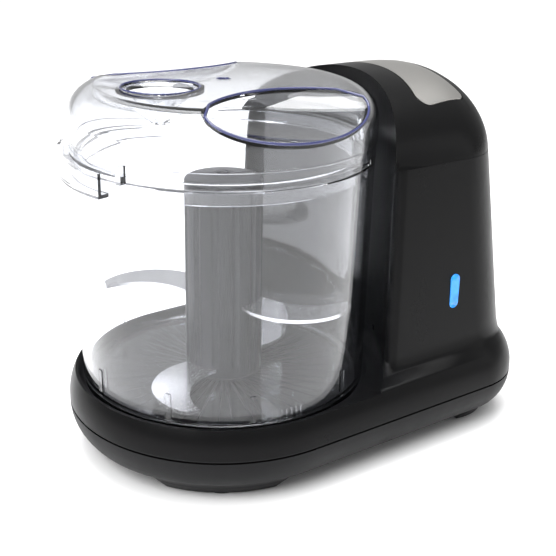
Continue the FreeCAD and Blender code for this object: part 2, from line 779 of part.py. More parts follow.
def plate_prism(grow):
    """The upright column above the press plate's plan, with rounded corners."""
    centre = face_centre_x.value
    foot = s.cap_z.value + 2
    radius = s.face_radius.value + s.plate_setback.value - grow
    half = s.plate_half.value + grow
    back_half = half - s.plate_taper.value
    front = centre + math.sqrt(radius ** 2 - half ** 2)
    back = face_x.value + s.plate_back.value + grow
    corners = [(front, -half), (back, -back_half), (back, back_half), (front, half)]
    ends = [vector(x, y, foot) for x, y in corners]
    edges = [line(a, b) for a, b in zip(ends, ends[1:])]
    edges.append(Part.Arc(ends[3], vector(centre + radius, 0, foot), ends[0]).toShape())
    solid = Part.Face(Part.Wire(edges)).extrude(vector(0, 0, 80))
    uprights = [e for e in solid.Edges if e.BoundBox.ZLength > 50]
    return free_shape(solid.makeFillet(s.plate_corner.value + grow, uprights))


bridge_z = s.cap_z + 8
post_x = face_x + s.post_setback
switch_height = Size(10.3)
post_foot_z = bracket_z + bracket_thickness + switch_height + s.button_travel + 0.3


def build_cap():
    arch = cut(free_shape(cap_solid(0)), [
        box(400, 400, 60, 0, 0, s.cap_z - 60),
        cylinder(s.face_radius, 80, face_centre_x, 0, s.cap_z - 10),
    ])
    hollow = cut(free_shape(cap_solid(s.wall.value)), [
        cylinder(s.face_radius + s.wall, 80, face_centre_x, 0, s.cap_z - 10),
    ])
    opening = plate_prism(s.plate_gap.value)
    additions = [cut(cut(arch, [hollow]), [opening])]
    inside = cap_interior()
    strap = box(12, 2 * s.tower_half, 2, post_x, 0, bridge_z)
    lugs = []
    for x, y in CAP_SCREW_PLACES:
        lugs.append(cylinder(4.2, 2.5, x, y, s.cap_z))
    for side in (-1, 1):
        lugs.append(box(12, 6, 2.5, face_screw_x - 5, face_screw_y * side, s.cap_z))
        lugs.append(box(10, 6, 2.5, back_screw_x + 5, back_screw_y * side, s.cap_z))
    additions.append(common([fused([strap] + lugs), inside]))
    guide = ring(s.button_post + s.running_gap, s.button_post + 2.4, 5, post_x, 0, bridge_z)
    additions.append(guide)
    holes = [cylinder(s.button_post + s.running_gap, 20, post_x, 0, bridge_z - 10)]
    for x, y in CAP_SCREW_PLACES:
        holes.append(cylinder(1.6, 10, x, y, s.cap_z - 1))
    holes.append(cylinder(pin_radius + s.running_gap, 20, face_x - 8, pin_y, pin_z, ALONG_X))
    name_part(cut(fused(additions), holes), "tower_cap")


def cap_interior():
    """The cap's bulk a little inside its outer skin, to trim the inner webs to."""
    return cut(free_shape(cap_solid(s.wall.value / 2)), [
        box(400, 400, 60, 0, 0, s.cap_z - 60),
        cylinder(s.face_radius + s.wall / 2, 80, face_centre_x, 0, s.cap_z - 10),
    ])


def build_button():
    top = cap_solid(0)
    under_plate = cap_solid(s.plate_thickness.value)
    under_carrier = cap_solid(s.plate_thickness.value + s.carrier_thickness.value)
    steel = cut(common([free_shape(top), plate_prism(0)]), [free_shape(under_plate)])
    name_part(steel, "press_plate")
    tray = cut(common([free_shape(under_plate), plate_prism(-0.3)]), [free_shape(under_carrier)])
    post_top_z = cap_top_z - s.plate_thickness - 1
    post = cylinder(s.button_post, post_top_z - post_foot_z, post_x, 0, post_foot_z)
    groove = ring(s.button_post - 0.8, s.button_post + 1, 1.2, post_x, 0, retainer_z)
    name_part(cut(fused([tray, post]), [groove]), "button_carrier")
    clip = ring(s.button_post - 0.8, s.button_post + 2, 1.2, post_x, 0, retainer_z)
    name_part(clip, "button_retainer")
    turns = 4
    spring_foot = bridge_z + 5
    spring_top = cap_top_z - s.plate_thickness - s.carrier_thickness - 0.5
    height = spring_top - spring_foot
    name_part(coil(spring_foot.value, height.value, turns), "button_spring")


def coil(foot, height, turns):
    """A compression spring round the button's post."""
    wire = 0.5
    radius = s.button_post.value + 1.4
    usable = height - 2 * wire - 0.2
    helix = Part.makeHelix(usable / turns, usable, radius)
    section = Part.Wire(Part.makeCircle(wire, vector(radius, 0, 0), vector(0, 1, 0)))
    solid = Part.Wire(helix).makePipeShell([section], True, True)
    item = free_shape(solid)
    item.Placement = FreeCAD.Placement(vector(post_x.value, 0, foot + wire + 0.1), FreeCAD.Rotation())
    return item


retainer_z = bridge_z - 1.5
pin_radius = Size(2.2)
pin_y = Size(-14.6)
pin_z = s.cap_z + 5
pin_tip_x = face_x - 2.35
pin_length = Size(6.8)


def build_switches():
    """The switch under the button, the lid's interlock and the bracket between them."""
    length = s.tower_depth + 1.8 - s.wall * 2
    bracket_start = face_x + s.wall + 1
    bracket = box(length, 26, bracket_thickness, bracket_start + length / 2, 0, bracket_z)
    holes = [cylinder(1.2, 10, x, y, bracket_z - 4) for x, y in BRACKET_SCREW_PLACES]
    name_part(cut(bracket, holes), "switch_bracket")
    screws = []
    for x, y in BRACKET_SCREW_PLACES:
        shank = cylinder(1.2, 3 + bracket_thickness, x, y, bracket_z - 3)
        screws.append(fused([shank, cylinder(2.2, 1.4, x, y, bracket_z + bracket_thickness)]))
    name_part(group(screws), "bracket_screws")
    switch_z = bracket_z + bracket_thickness
    body = box(20, 7, switch_height, post_x, 0, switch_z)
    name_part(cut(body, [cylinder(1.6, 8, post_x, 0, switch_z + 4)]), "power_switch")
    plunger_top = post_foot_z - s.seat_gap
    plunger_foot = switch_z + 7.5
    plunger = cylinder(1.5, plunger_top - plunger_foot, post_x, 0, plunger_foot)
    name_part(plunger, "switch_plunger")
    pin = cylinder(pin_radius, pin_length, pin_tip_x, pin_y, pin_z, ALONG_X)
    collar = cylinder(pin_radius + 1.2, 1, pin_tip_x + 4.2, pin_y, pin_z, ALONG_X)
    name_part(fused([pin, collar]), "interlock_pin")
    interlock_x = pin_tip_x + pin_length + 2.3
    interlock = box(10.3, 18, 6.5, interlock_x + 5.15, pin_y - 2.4, bridge_z - 6.5)
    name_part(interlock, "interlock_switch")


def build_boards():
    holes = [cylinder(1.2, 10, x, board_y - 5, z, ALONG_Y) for x, z in BOARD_BOSS_PLACES]
    board = box(26, 1.6, 42, board_x, board_y + 0.8, 48)
    name_part(cut(board, holes), "control_board")
    name_part(cylinder(4, 10, board_x - 4, board_y - 10, 74, ALONG_Y), "board_capacitor")
    name_part(box(14, 9, 12, board_x + 2, board_y - 4.5, 52), "board_relay")


# ---------------------------------------------------------------- motor and belt drive

def build_motor():
    foot = s.motor_z
    top = s.motor_z + s.motor_length
    bearing = Size(5)
    can_inside = s.motor_radius - s.motor_wall
    name_part(turned([
        (bearing, foot),
        (s.motor_radius, foot),
        (s.motor_radius, top),
        (can_inside, top),
        (can_inside, foot + 2),
        (bearing, foot + 2),
    ], motor_x), "motor_can")
    shaft_bore = s.shaft_radius + s.running_gap
    name_part(turned([
        (shaft_bore, foot - 1.5),
        (bearing + 1.5, foot - 1.5),
        (bearing + 1.5, foot),
        (bearing, foot),
        (bearing, foot + 5),
        (shaft_bore, foot + 5),
    ], motor_x), "motor_bush")
    name_part(turned([
        (shaft_bore, top - 2),
        (can_inside, top - 2),
        (can_inside, top),
        (s.motor_radius, top),
        (s.motor_radius, top + 1.5),
        (bearing + 1, top + 3),
        (bearing + 1, top + 5),
        (shaft_bore, top + 5),
    ], motor_x), "motor_end_cap")
    magnets = []
    for first in (25, 205):
        shell = sector(13.2, can_inside, 30, foot + 10, first, first + 130, motor_x)
        magnets.append(shell)
    name_part(group(magnets), "motor_magnets")
    brushes = []
    for side in (-1, 1):
        brushes.append(box(6, 4, 4, motor_x + 9.3 * side, 0, foot + 45))
    name_part(group(brushes), "carbon_brushes")
    plate_body = box(38, 60, 2, motor_x, 0, foot - 2)
    holes = [cylinder(bearing + 1.8, 6, motor_x, 0, foot - 4)]
    for along, across in MOTOR_POST_PLACES:
        holes.append(cylinder(s.screw_radius + 0.3, 6, motor_x + along, across, foot - 4))
    name_part(cut(plate_body, holes), "motor_plate")
    dampers = []
    screws = []
    for along, across in MOTOR_POST_PLACES:
        x = motor_x + along
        dampers.append(ring(s.screw_radius + 0.3, 4.6, 4, x, across, motor_post_top_z))
        head = cylinder(s.screw_head, 2.2, x, across, foot)
        screws.append(fused([head, cylinder(s.screw_radius, 13, x, across, foot - 13)]))
    name_part(group(dampers), "motor_dampers")
    name_part(group(screws), "motor_screws")


def build_rotor():
    foot = s.motor_z
    shaft_foot = s.belt_z - 2.5
    shaft_top = s.motor_z + s.motor_length + 4
    name_part(cylinder(s.shaft_radius, shaft_top - shaft_foot, motor_x, 0, shaft_foot), "motor_shaft")
    name_part(turned([
        (s.shaft_radius, foot + 7),
        (9, foot + 8),
        (10, foot + 12),
        (12.6, foot + 12),
        (12.6, foot + 38),
        (10, foot + 38),
        (9, foot + 42),
        (6, foot + 43),
        (6, foot + 50),
        (s.shaft_radius, foot + 50),
    ], motor_x), "motor_armature")
    fan_z = s.belt_z + s.belt_width + 2.4
    vanes = [radial_box(angle, 4.5, 14.5, 1.2, 3.6, fan_z, motor_x) for angle in range(0, 360, 40)]
    disc = ring(s.shaft_radius, 14.5, 1, motor_x, 0, fan_z)
    hub = ring(s.shaft_radius, 5, 4, motor_x, 0, fan_z)
    name_part(fused([disc, hub] + vanes), "cooling_fan")
    name_part(belt_pulley(s.small_pulley, s.shaft_radius, motor_x), "motor_pulley")


def belt_pulley(radius, bore, x):
    """A flat pulley with a rim at each edge of the belt."""
    low = s.belt_z - 0.4
    high = s.belt_z + s.belt_width + 0.4
    return turned([
        (bore, low - 0.9),
        (radius + 1.8, low - 0.9),
        (radius + 1.8, low),
        (radius, low),
        (radius, high),
        (radius + 1.8, high),
        (radius + 1.8, high + 0.9),
        (bore, high + 0.9),
    ], x)


def belt_loop(grow, height, z):
    """The solid that a belt grown by an amount would fill round both pulleys."""
    small = s.small_pulley.value + grow
    large = s.small_pulley.value * s.pulley_ratio.value + grow
    span = motor_x.value - bowl_x.value
    lean = math.degrees(math.acos((large - small) / span))
    start = vector(bowl_x.value, 0, z)
    end = vector(motor_x.value, 0, z)

    def rim(centre, radius, turn):
        angle = math.radians(turn)
        return centre + vector(radius * math.cos(angle), radius * math.sin(angle), 0)

    outline = Part.Wire([
        arc(start, large, lean, 360 - lean),
        line(rim(start, large, -lean), rim(end, small, -lean)),
        arc(end, small, -lean, lean),
        line(rim(end, small, lean), rim(start, large, lean)),
    ])
    return Part.Face(outline).extrude(vector(0, 0, height))


def build_belt():
    gap = s.running_gap.value
    outer = belt_loop(gap + s.belt_thickness.value, s.belt_width.value, s.belt_z.value)
    inner = belt_loop(gap, s.belt_width.value + 2, s.belt_z.value - 1)
    name_part(cut(free_shape(outer), [free_shape(inner)]), "drive_belt")


# ---------------------------------------------------------------- spindle and its bearings

def build_spindle():
    foot = s.belt_z - 2.5
    round_height = s.spindle_top_z - 24 - foot
    round_part = cylinder(s.spindle_radius, round_height, bowl_x, 0, foot)
    tip = common([
        cylinder(s.spindle_radius, 24, bowl_x, 0, s.spindle_top_z - 24),
        box(s.spindle_flat, s.spindle_flat, 24, bowl_x, 0, s.spindle_top_z - 24),
    ])
    name_part(fused([round_part, tip]), "drive_spindle")
    pulley = belt_pulley(s.small_pulley * s.pulley_ratio, s.spindle_radius, bowl_x)
    web_z = s.belt_z + 1.4
    pocket = ring(7.5, s.small_pulley * s.pulley_ratio - 3, 20, bowl_x, 0, web_z + 1.6)
    name_part(cut(pulley, [pocket]), "spindle_pulley")
    bore = s.spindle_radius + s.running_gap
    name_part(ring(bore, s.bush_radius, s.bush_length, bowl_x, 0, bush_foot_z), "lower_bush")
    upper_z = s.boss_top_z - s.bush_length
    name_part(ring(bore, s.bush_radius, s.bush_length, bowl_x, 0, upper_z), "upper_bush")
    name_part(turned([
        (bore, s.boss_top_z),
        (s.boss_radius - 0.6, s.boss_top_z),
        (s.boss_radius - 0.6, s.boss_top_z + 1.2),
        (bore + 1, s.boss_top_z + 2.6),
        (bore, s.boss_top_z + 2.6),
    ], bowl_x), "spindle_seal")
    name_part(ring(s.spindle_radius, 7, 0.8, bowl_x, 0, s.boss_top_z + 3.2), "slinger_washer")


# ---------------------------------------------------------------- bowl

BOWL_RIB_ANGLES = (-177.0, -143.5, -112.3, -71.5, 3.0, 36.5, 67.7, 108.5)
CHANNEL_ANGLES = (142.0, 194.0)


def build_bowl():
    foot_radius = s.bowl_radius - s.bowl_draft
    floor_z = bowl_z + s.bowl_floor
    post_z = bowl_z + s.post_height
    post_outer = s.post_bore + s.post_wall
    shell = turned([
        (s.post_bore, bowl_z),
        (foot_radius - 3, bowl_z),
        (foot_radius, bowl_z + 3),
        (s.bowl_radius, rim_z),
        (s.bowl_radius - s.bowl_wall, rim_z),
        (foot_radius - s.bowl_wall, floor_z + 4),
        (foot_radius - s.bowl_wall - 4, floor_z),
        (post_outer, floor_z),
        (post_outer, post_z),
        (s.spindle_radius + 1.2, post_z),
        (s.spindle_radius + 1.2, post_z - s.post_wall),
        (s.post_bore, post_z - s.post_wall),
    ], bowl_x)
    ribs = []
    for angle in BOWL_RIB_ANGLES:
        ribs.append(radial_box(angle, foot_radius - 1, foot_radius + 0.6, 2, 10, lip_z + 1, bowl_x))
    outer = s.bowl_radius + s.channel_reach
    channel_z = rim_z - s.channel_drop
    first, last = CHANNEL_ANGLES
    inner = s.bowl_radius - 0.6
    floor = sector(inner, outer, s.channel_wall, channel_z, first, last, bowl_x)
    height = s.channel_drop + s.channel_rise
    wall = sector(outer - s.channel_wall, outer, height, channel_z, first, last, bowl_x)
    end = sector(inner, outer, s.channel_drop, channel_z, first, first + 1.4, bowl_x)
    name_part(fused([shell, floor, wall, end] + ribs), "bowl")


# ---------------------------------------------------------------- lid

def ellipsoid(grow, side):
    """The finger grip's shape, or that shape with a wall's thickness round it."""
    item = doc.addObject("Part::Ellipsoid", "Ellipsoid")
    bind(item, "Radius1", s.grip_depth + grow)
    bind(item, "Radius2", s.grip_length + grow)
    bind(item, "Radius3", s.grip_width + grow)
    item.Angle1 = -90
    item.Angle2 = 90
    item.Angle3 = 360
    return place(item, bowl_x, s.grip_offset * side, lid_top_z + s.grip_lift)


def lid_bulk(inset, foot_z, rounding):
    """The lid's outside, or with an inset its inside: a low crowned drum with a rounded shoulder."""
    edge_z = lid_top_z - s.lid_crown - inset
    radius = s.lid_radius - inset
    points = [
        (0, foot_z),
        (radius, foot_z),
        (radius, edge_z - rounding),
        (radius - rounding, edge_z),
        (0, lid_top_z - inset),
    ]
    return turned(points, bowl_x, rounding=(2, rounding))


def build_lid():
    band_top = lid_z + s.lid_band
    outer = lid_bulk(Size(0), band_top, s.lid_rounding)
    inner = lid_bulk(s.lid_wall, lid_z + s.lid_wall, s.lid_rounding - s.lid_wall)
    band = cylinder(s.lid_radius - s.lid_band_step, s.lid_band, bowl_x, 0, lid_z)
    skirt_radius = s.bowl_radius - s.bowl_wall - s.part_gap
    skirt_z = lid_z - s.seat_gap - s.lid_skirt
    skirt = cylinder(skirt_radius, lid_z - skirt_z + 1, bowl_x, 0, skirt_z)
    funnel_x = bowl_x - s.funnel_offset
    ring_z = lid_top_z - 2
    cone_foot_z = ring_z - s.funnel_depth
    grips = [ellipsoid(0, side) for side in (-1, 1)]
    thick_grips = [ellipsoid(s.lid_wall, side) for side in (-1, 1)]
    thick_funnel = [
        cone(s.funnel_outlet + 1.4, s.funnel_radius + 2.4, s.funnel_depth + 1.5, funnel_x, 0,
             cone_foot_z - 1.5),
        cylinder(s.funnel_rim + 1.6, 10, funnel_x, 0, ring_z - 1.6),
    ]
    hollow = cut(fused([inner, cylinder(skirt_radius - 1.4, 20, bowl_x, 0, skirt_z - 10)]),
                 thick_grips + thick_funnel)
    holes = [
        cylinder(s.funnel_rim, 10, funnel_x, 0, ring_z + 0.6),
        cone(s.funnel_outlet, s.funnel_radius, s.funnel_depth + 0.6, funnel_x, 0, cone_foot_z),
        cylinder(s.funnel_outlet, 30, funnel_x, 0, cone_foot_z - 20),
        cylinder(s.vent_radius, 20, bowl_x, 0, lid_top_z - 10),
    ]
    lug_outer = s.bowl_radius + s.channel_reach - s.channel_wall - s.part_gap
    lug_inner = s.lid_radius - s.lid_band_step - 0.6
    lug_foot = lid_z + 0.3
    lug = sector(lug_inner, lug_outer, 2, lug_foot, CHANNEL_ANGLES[0] + 8, CHANNEL_ANGLES[1] + 7, bowl_x)
    stop = radial_box(CHANNEL_ANGLES[1] + 7.3, lug_inner, lug_outer + 0.4, 2, s.lid_band, lid_z, bowl_x)
    tongue = radial_box(-15, lug_inner, s.lid_radius + 0.8, 4, s.lid_band - 1.4, lid_z + 0.3, bowl_x)
    shell = fused([outer, band, skirt, lug, stop, tongue])
    name_part(cut(cut(cut(shell, grips), [hollow]), holes), "lid")


# ---------------------------------------------------------------- blades

hub_foot_z = bowl_z + s.bowl_floor + 0.8
hub_top_z = hub_foot_z + s.hub_length
post_top_z = bowl_z + s.post_height


def blade_shape(z, first):
    """A pair of sickle blades that sweep back from the hub."""
    reach = s.blade_reach.value
    root = s.hub_radius.value - 1.0

    def point(radius, turn):
        angle = math.radians(first + turn)
        return vector(bowl_x.value + radius * math.cos(angle), radius * math.sin(angle), z)

    blades = []
    for half in (0, 180):
        outline = Part.Wire([
            Part.Arc(point(root, half - 26), point(reach * 0.72, half - 10),
                     point(reach, half + 22)).toShape(),
            line(point(reach, half + 22), point(reach - 2.5, half + 27)),
            Part.Arc(point(reach - 2.5, half + 27), point(reach * 0.58, half + 14),
                     point(root, half + 30)).toShape(),
            line(point(root, half + 30), point(root, half - 26)),
        ])
        blades.append(Part.Face(outline).extrude(vector(0, 0, s.blade_thickness.value)))
    return free_shape(Part.makeCompound(blades))


def build_blades():
    lower = blade_shape(hub_foot_z.value + 3, 20)
    upper = blade_shape(hub_foot_z.value + 28, 110)
    pocket = s.post_bore + s.post_wall + s.part_gap
    stem_z = post_top_z + 1.5
    insert_radius = Size(6.5)
    insert_top = s.spindle_top_z + 2
    crown_z = hub_top_z - 2.2
    hub = turned([
        (pocket, hub_foot_z),
        (s.hub_radius, hub_foot_z),
        (s.hub_radius, crown_z - 0.8),
        (s.hub_radius - 1.2, crown_z + 0.2),
        (4, hub_top_z - 0.4),
        (2.4, hub_top_z - 0.2),
        (1.6, hub_top_z - 1.4),
        (0, hub_top_z - 1.4),
        (0, insert_top),
        (insert_radius, insert_top),
        (insert_radius, stem_z),
        (insert_radius + 2, stem_z),
        (insert_radius + 2, hub_top_z - 5),
        (pocket, hub_top_z - 5),
    ], bowl_x)
    flutes = []
    for angle in range(15, 360, 30):
        x, y = round_the_axis(angle, s.hub_radius + 1.1, bowl_x)
        flutes.append(cylinder(1.9, hub_top_z - 8 - hub_foot_z - 5, x, y, hub_foot_z + 5))
    name_part(cut(hub, flutes + [lower, upper]), "blade_hub")
    name_part(lower, "lower_blade")
    name_part(upper, "upper_blade")
    socket = s.spindle_flat + 0.4
    key = common([
        cylinder(s.spindle_radius + 0.2, 40, bowl_x, 0, stem_z - 5),
        box(socket, socket, s.spindle_top_z + 0.6 - stem_z + 5, bowl_x, 0, stem_z - 5),
    ])
    insert = cylinder(insert_radius, insert_top - stem_z, bowl_x, 0, stem_z)
    name_part(cut(insert, [key]), "hub_insert")


def build_cap_screws():
    screws = []
    for x, y in CAP_SCREW_PLACES:
        shank = cylinder(1.4, 12.5, x, y, s.cap_z - 10)
        screws.append(fused([shank, cylinder(2.6, 2, x, y, s.cap_z + 2.5)]))
    name_part(group(screws), "cap_screws")


def write_parts():
    """Check every object and write each sub-part as a STEP file."""
    doc.recompute()
    for item in doc.Objects:
        bad = [state for state in item.State if state in ("Invalid", "Error")]
        if bad:
            raise RuntimeError(f"{item.Name} ({item.Label}) is {bad}")
    os.makedirs("parts", exist_ok=True)
    for item in subparts:
        shape = item.Shape
        if shape.isNull() or not shape.isValid() or not shape.Solids:
            raise RuntimeError(item.Label + " has no valid solid")
        print(f"{item.Label:18s} solids {len(shape.Solids)} volume {shape.Volume / 1000:9.3f} cm3")
    for item in subparts:
        item.Shape.exportStep(f"parts/{item.Label}.step")


build_lower_shell()
build_cord_gland()
build_housing()
build_lamp()
build_cap()
build_cap_screws()
build_button()
build_switches()
build_boards()
build_motor()
build_rotor()
build_belt()
build_spindle()
build_bowl()
build_lid()
build_blades()
write_parts()
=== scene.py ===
"""The looks of a one-bowl food processor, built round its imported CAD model.

All lengths are metres, in the CAD model's own frame: +X runs from the bowl to the motor tower,
-Y is the front with the indicator, and +Z is up.
"""

import json
import math

import bmesh
import bpy
from mathutils import Matrix, Vector


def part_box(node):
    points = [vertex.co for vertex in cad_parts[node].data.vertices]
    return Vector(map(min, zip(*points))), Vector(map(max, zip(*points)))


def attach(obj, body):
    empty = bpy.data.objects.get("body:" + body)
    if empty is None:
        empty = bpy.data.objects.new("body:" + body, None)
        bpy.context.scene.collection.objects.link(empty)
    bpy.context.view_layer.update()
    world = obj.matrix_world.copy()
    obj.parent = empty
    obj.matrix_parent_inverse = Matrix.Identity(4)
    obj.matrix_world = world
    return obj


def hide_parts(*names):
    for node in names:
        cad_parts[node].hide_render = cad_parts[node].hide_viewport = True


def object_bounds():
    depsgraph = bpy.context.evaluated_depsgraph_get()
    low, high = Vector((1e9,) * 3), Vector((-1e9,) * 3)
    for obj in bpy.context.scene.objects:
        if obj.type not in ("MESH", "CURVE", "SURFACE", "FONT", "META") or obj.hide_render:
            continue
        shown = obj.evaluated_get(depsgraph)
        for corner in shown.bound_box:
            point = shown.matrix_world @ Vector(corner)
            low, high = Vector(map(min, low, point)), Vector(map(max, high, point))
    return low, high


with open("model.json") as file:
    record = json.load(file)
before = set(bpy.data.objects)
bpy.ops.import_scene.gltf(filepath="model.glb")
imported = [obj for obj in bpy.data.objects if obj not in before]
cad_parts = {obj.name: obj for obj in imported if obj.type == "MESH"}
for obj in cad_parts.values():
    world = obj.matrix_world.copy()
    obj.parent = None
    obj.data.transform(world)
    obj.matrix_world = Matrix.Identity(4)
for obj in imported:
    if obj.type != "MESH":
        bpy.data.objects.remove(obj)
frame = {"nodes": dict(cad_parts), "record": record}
cad_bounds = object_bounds()

MM = 0.001
SLOT_OF = {part["node"]: part["material_slot"] for part in frame["record"]["subparts"]}
BODY_OF = {node: body for body, nodes in frame["record"]["behaviour"]["bodies"].items() for node in nodes}

SMOOTH_ANGLE = math.radians(32)


# ---------------------------------------------------------------- shader node groups

class Graph:
    """Short calls for one node tree."""

    def __init__(self, tree):
        self.tree = tree

    def add(self, kind, inputs=None, **settings):
        node = self.tree.nodes.new(kind)
        for name, value in settings.items():
            setattr(node, name, value)
        for key, value in (inputs or {}).items():
            self.feed(node.inputs[key], value)
        return node

    def feed(self, socket, value):
        if isinstance(value, bpy.types.NodeSocket):
            self.tree.links.new(value, socket)
        else:
            socket.default_value = value


def shader_group(name, inputs, outputs):
    """A new shader node group with named number inputs and outputs."""
    tree = bpy.data.node_groups.new(name, "ShaderNodeTree")
    for label, value in inputs:
        socket = tree.interface.new_socket(label, in_out="INPUT", socket_type="NodeSocketFloat")
        socket.default_value = value
    for label in outputs:
        tree.interface.new_socket(label, in_out="OUTPUT", socket_type="NodeSocketFloat")
    graph = Graph(tree)
    return tree, graph, graph.add("NodeGroupInput"), graph.add("NodeGroupOutput")


def moulded_grain_group():
    """Fine spark-eroded grain of a moulded plastic skin."""
    tree, graph, given, result = shader_group(
        "Moulded grain", [("Grains per metre", 2500.0), ("Detail", 3.0)], ["Height"])
    place = graph.add("ShaderNodeTexCoord")
    noise = graph.add("ShaderNodeTexNoise", {
        "Vector": place.outputs["Object"],
        "Scale": given.outputs["Grains per metre"],
        "Detail": given.outputs["Detail"],
    })
    graph.feed(result.inputs["Height"], noise.outputs["Fac"])
    return tree


def handling_group():
    """Soft patches where a surface is a little duller from being handled, and finer smudges."""
    tree, graph, given, result = shader_group(
        "Handling", [("Patches per metre", 30.0), ("Low", 0.3), ("High", 0.4)], ["Roughness"])
    place = graph.add("ShaderNodeTexCoord")
    noise = graph.add("ShaderNodeTexNoise", {
        "Vector": place.outputs["Object"],
        "Scale": given.outputs["Patches per metre"],
        "Detail": 6.0,
        "Roughness": 0.6,
    })
    spread = graph.add("ShaderNodeMapRange", {
        "Value": noise.outputs["Fac"],
        "From Min": 0.35,
        "From Max": 0.65,
        "To Min": given.outputs["Low"],
        "To Max": given.outputs["High"],
    })
    graph.feed(result.inputs["Roughness"], spread.outputs["Result"])
    return tree


def brushing_group():
    """Long fine lines along Y, as a belt leaves them on sheet steel."""
    tree, graph, given, result = shader_group(
        "Brushing", [("Lines per metre", 6000.0), ("Length", 0.02)], ["Line"])
    place = graph.add("ShaderNodeTexCoord")
    stretch = graph.add("ShaderNodeCombineXYZ", {"X": 1.0, "Y": given.outputs["Length"], "Z": 1.0})
    scaled = graph.add("ShaderNodeVectorMath", {0: place.outputs["Object"], 1: stretch.outputs[0]},
                       operation="MULTIPLY")
    noise = graph.add("ShaderNodeTexNoise", {
        "Vector": scaled.outputs[0],
        "Scale": given.outputs["Lines per metre"],
        "Detail": 2.0,
    })
    graph.feed(result.inputs["Line"], noise.outputs["Fac"])
    return tree


GRAIN = moulded_grain_group()
HANDLING = handling_group()
BRUSHING = brushing_group()


# ---------------------------------------------------------------- materials

def new_material(name):
    material = bpy.data.materials.new(name)
    material.use_nodes = True
    material.node_tree.nodes.clear()
    graph = Graph(material.node_tree)
    shader = graph.add("ShaderNodeBsdfPrincipled")
    output = graph.add("ShaderNodeOutputMaterial")
    graph.feed(output.inputs["Surface"], shader.outputs["BSDF"])
    return material, graph, shader, output


def group_node(graph, tree, inputs):
    node = graph.add("ShaderNodeGroup", node_tree=tree)
    for name, value in inputs.items():
        graph.feed(node.inputs[name], value)
    return node


def tinted(graph, shader, colour, spread):
    """A base colour that drifts a little over the piece."""
    place = graph.add("ShaderNodeTexCoord")
    noise = graph.add("ShaderNodeTexNoise", {
        "Vector": place.outputs["Object"],
        "Scale": 60.0,
        "Detail": 4.0,
    })
    darker = tuple(c * (1 - spread) for c in colour) + (1,)
    lighter = tuple(min(1, c * (1 + spread)) for c in colour) + (1,)
    mix = graph.add("ShaderNodeMix", data_type="RGBA")
    graph.feed(mix.inputs["Factor"], noise.outputs["Fac"])
    graph.feed(mix.inputs["A"], darker)
    graph.feed(mix.inputs["B"], lighter)
    graph.feed(shader.inputs["Base Color"], mix.outputs["Result"])


def moulded(name, colour, low, high, grains, depth, spread=0.08, gloss=0.5):
    """A moulded plastic or rubber: grain in the bump, handling in the roughness."""
    material, graph, shader, _ = new_material(name)
    shader.inputs["Specular IOR Level"].default_value = gloss
    tinted(graph, shader, colour, spread)
    handling = group_node(graph, HANDLING, {"Patches per metre": 34.0, "Low": low, "High": high})
    graph.feed(shader.inputs["Roughness"], handling.outputs["Roughness"])
    grain = group_node(graph, GRAIN, {"Grains per metre": grains})
    bump = graph.add("ShaderNodeBump", {
        "Height": grain.outputs["Height"],
        "Distance": depth,
        "Strength": 0.35,
    })
    graph.feed(shader.inputs["Normal"], bump.outputs["Normal"])
    return material


def metal(name, colour, low, high, lines, length, depth, spread=0.06):
    """A metal with drawn or brushed lines."""
    material, graph, shader, _ = new_material(name)
    tinted(graph, shader, colour, spread)
    shader.inputs["Metallic"].default_value = 1.0
    brushing = group_node(graph, BRUSHING, {"Lines per metre": lines, "Length": length})
    spreading = graph.add("ShaderNodeMapRange", {
        "Value": brushing.outputs["Line"],
        "From Min": 0.3,
        "From Max": 0.7,
        "To Min": low,
        "To Max": high,
    })
    graph.feed(shader.inputs["Roughness"], spreading.outputs["Result"])
    bump = graph.add("ShaderNodeBump", {
        "Height": brushing.outputs["Line"],
        "Distance": depth,
        "Strength": 0.3,
    })
    graph.feed(shader.inputs["Normal"], bump.outputs["Normal"])
    return material


def clear_plastic():
    """Water-clear styrene with a faint blue cast, and light that passes straight through in shadow."""
    material, graph, shader, output = new_material("Clear bowl and lid plastic")
    shader.inputs["Base Color"].default_value = (0.955, 0.965, 0.99, 1)
    shader.inputs["Transmission Weight"].default_value = 1.0
    shader.inputs["IOR"].default_value = 1.5
    handling = group_node(graph, HANDLING, {"Patches per metre": 45.0, "Low": 0.015, "High": 0.035})
    graph.feed(shader.inputs["Roughness"], handling.outputs["Roughness"])
    path = graph.add("ShaderNodeLightPath")
    clear = graph.add("ShaderNodeBsdfTransparent", {"Color": (0.93, 0.94, 0.96, 1)})
    mix = graph.add("ShaderNodeMixShader", {
        0: path.outputs["Is Shadow Ray"],
        1: shader.outputs["BSDF"],
        2: clear.outputs["BSDF"],
    })
    graph.feed(output.inputs["Surface"], mix.outputs["Shader"])
    return material


def lid_rim_tint_painted_dark():
    """The thick rounded rims of the clear lid: the plastic's blue cast, with the dark look of light bent
    through the rims painted in as an opaque colour.
    """
    material, graph, shader, _ = new_material("Blue tint and painted dark refraction of the lid rims")
    tinted(graph, shader, (0.028, 0.033, 0.11), 0.15)
    shader.inputs["Roughness"].default_value = 0.06
    shader.inputs["Coat Weight"].default_value = 0.5
    return material


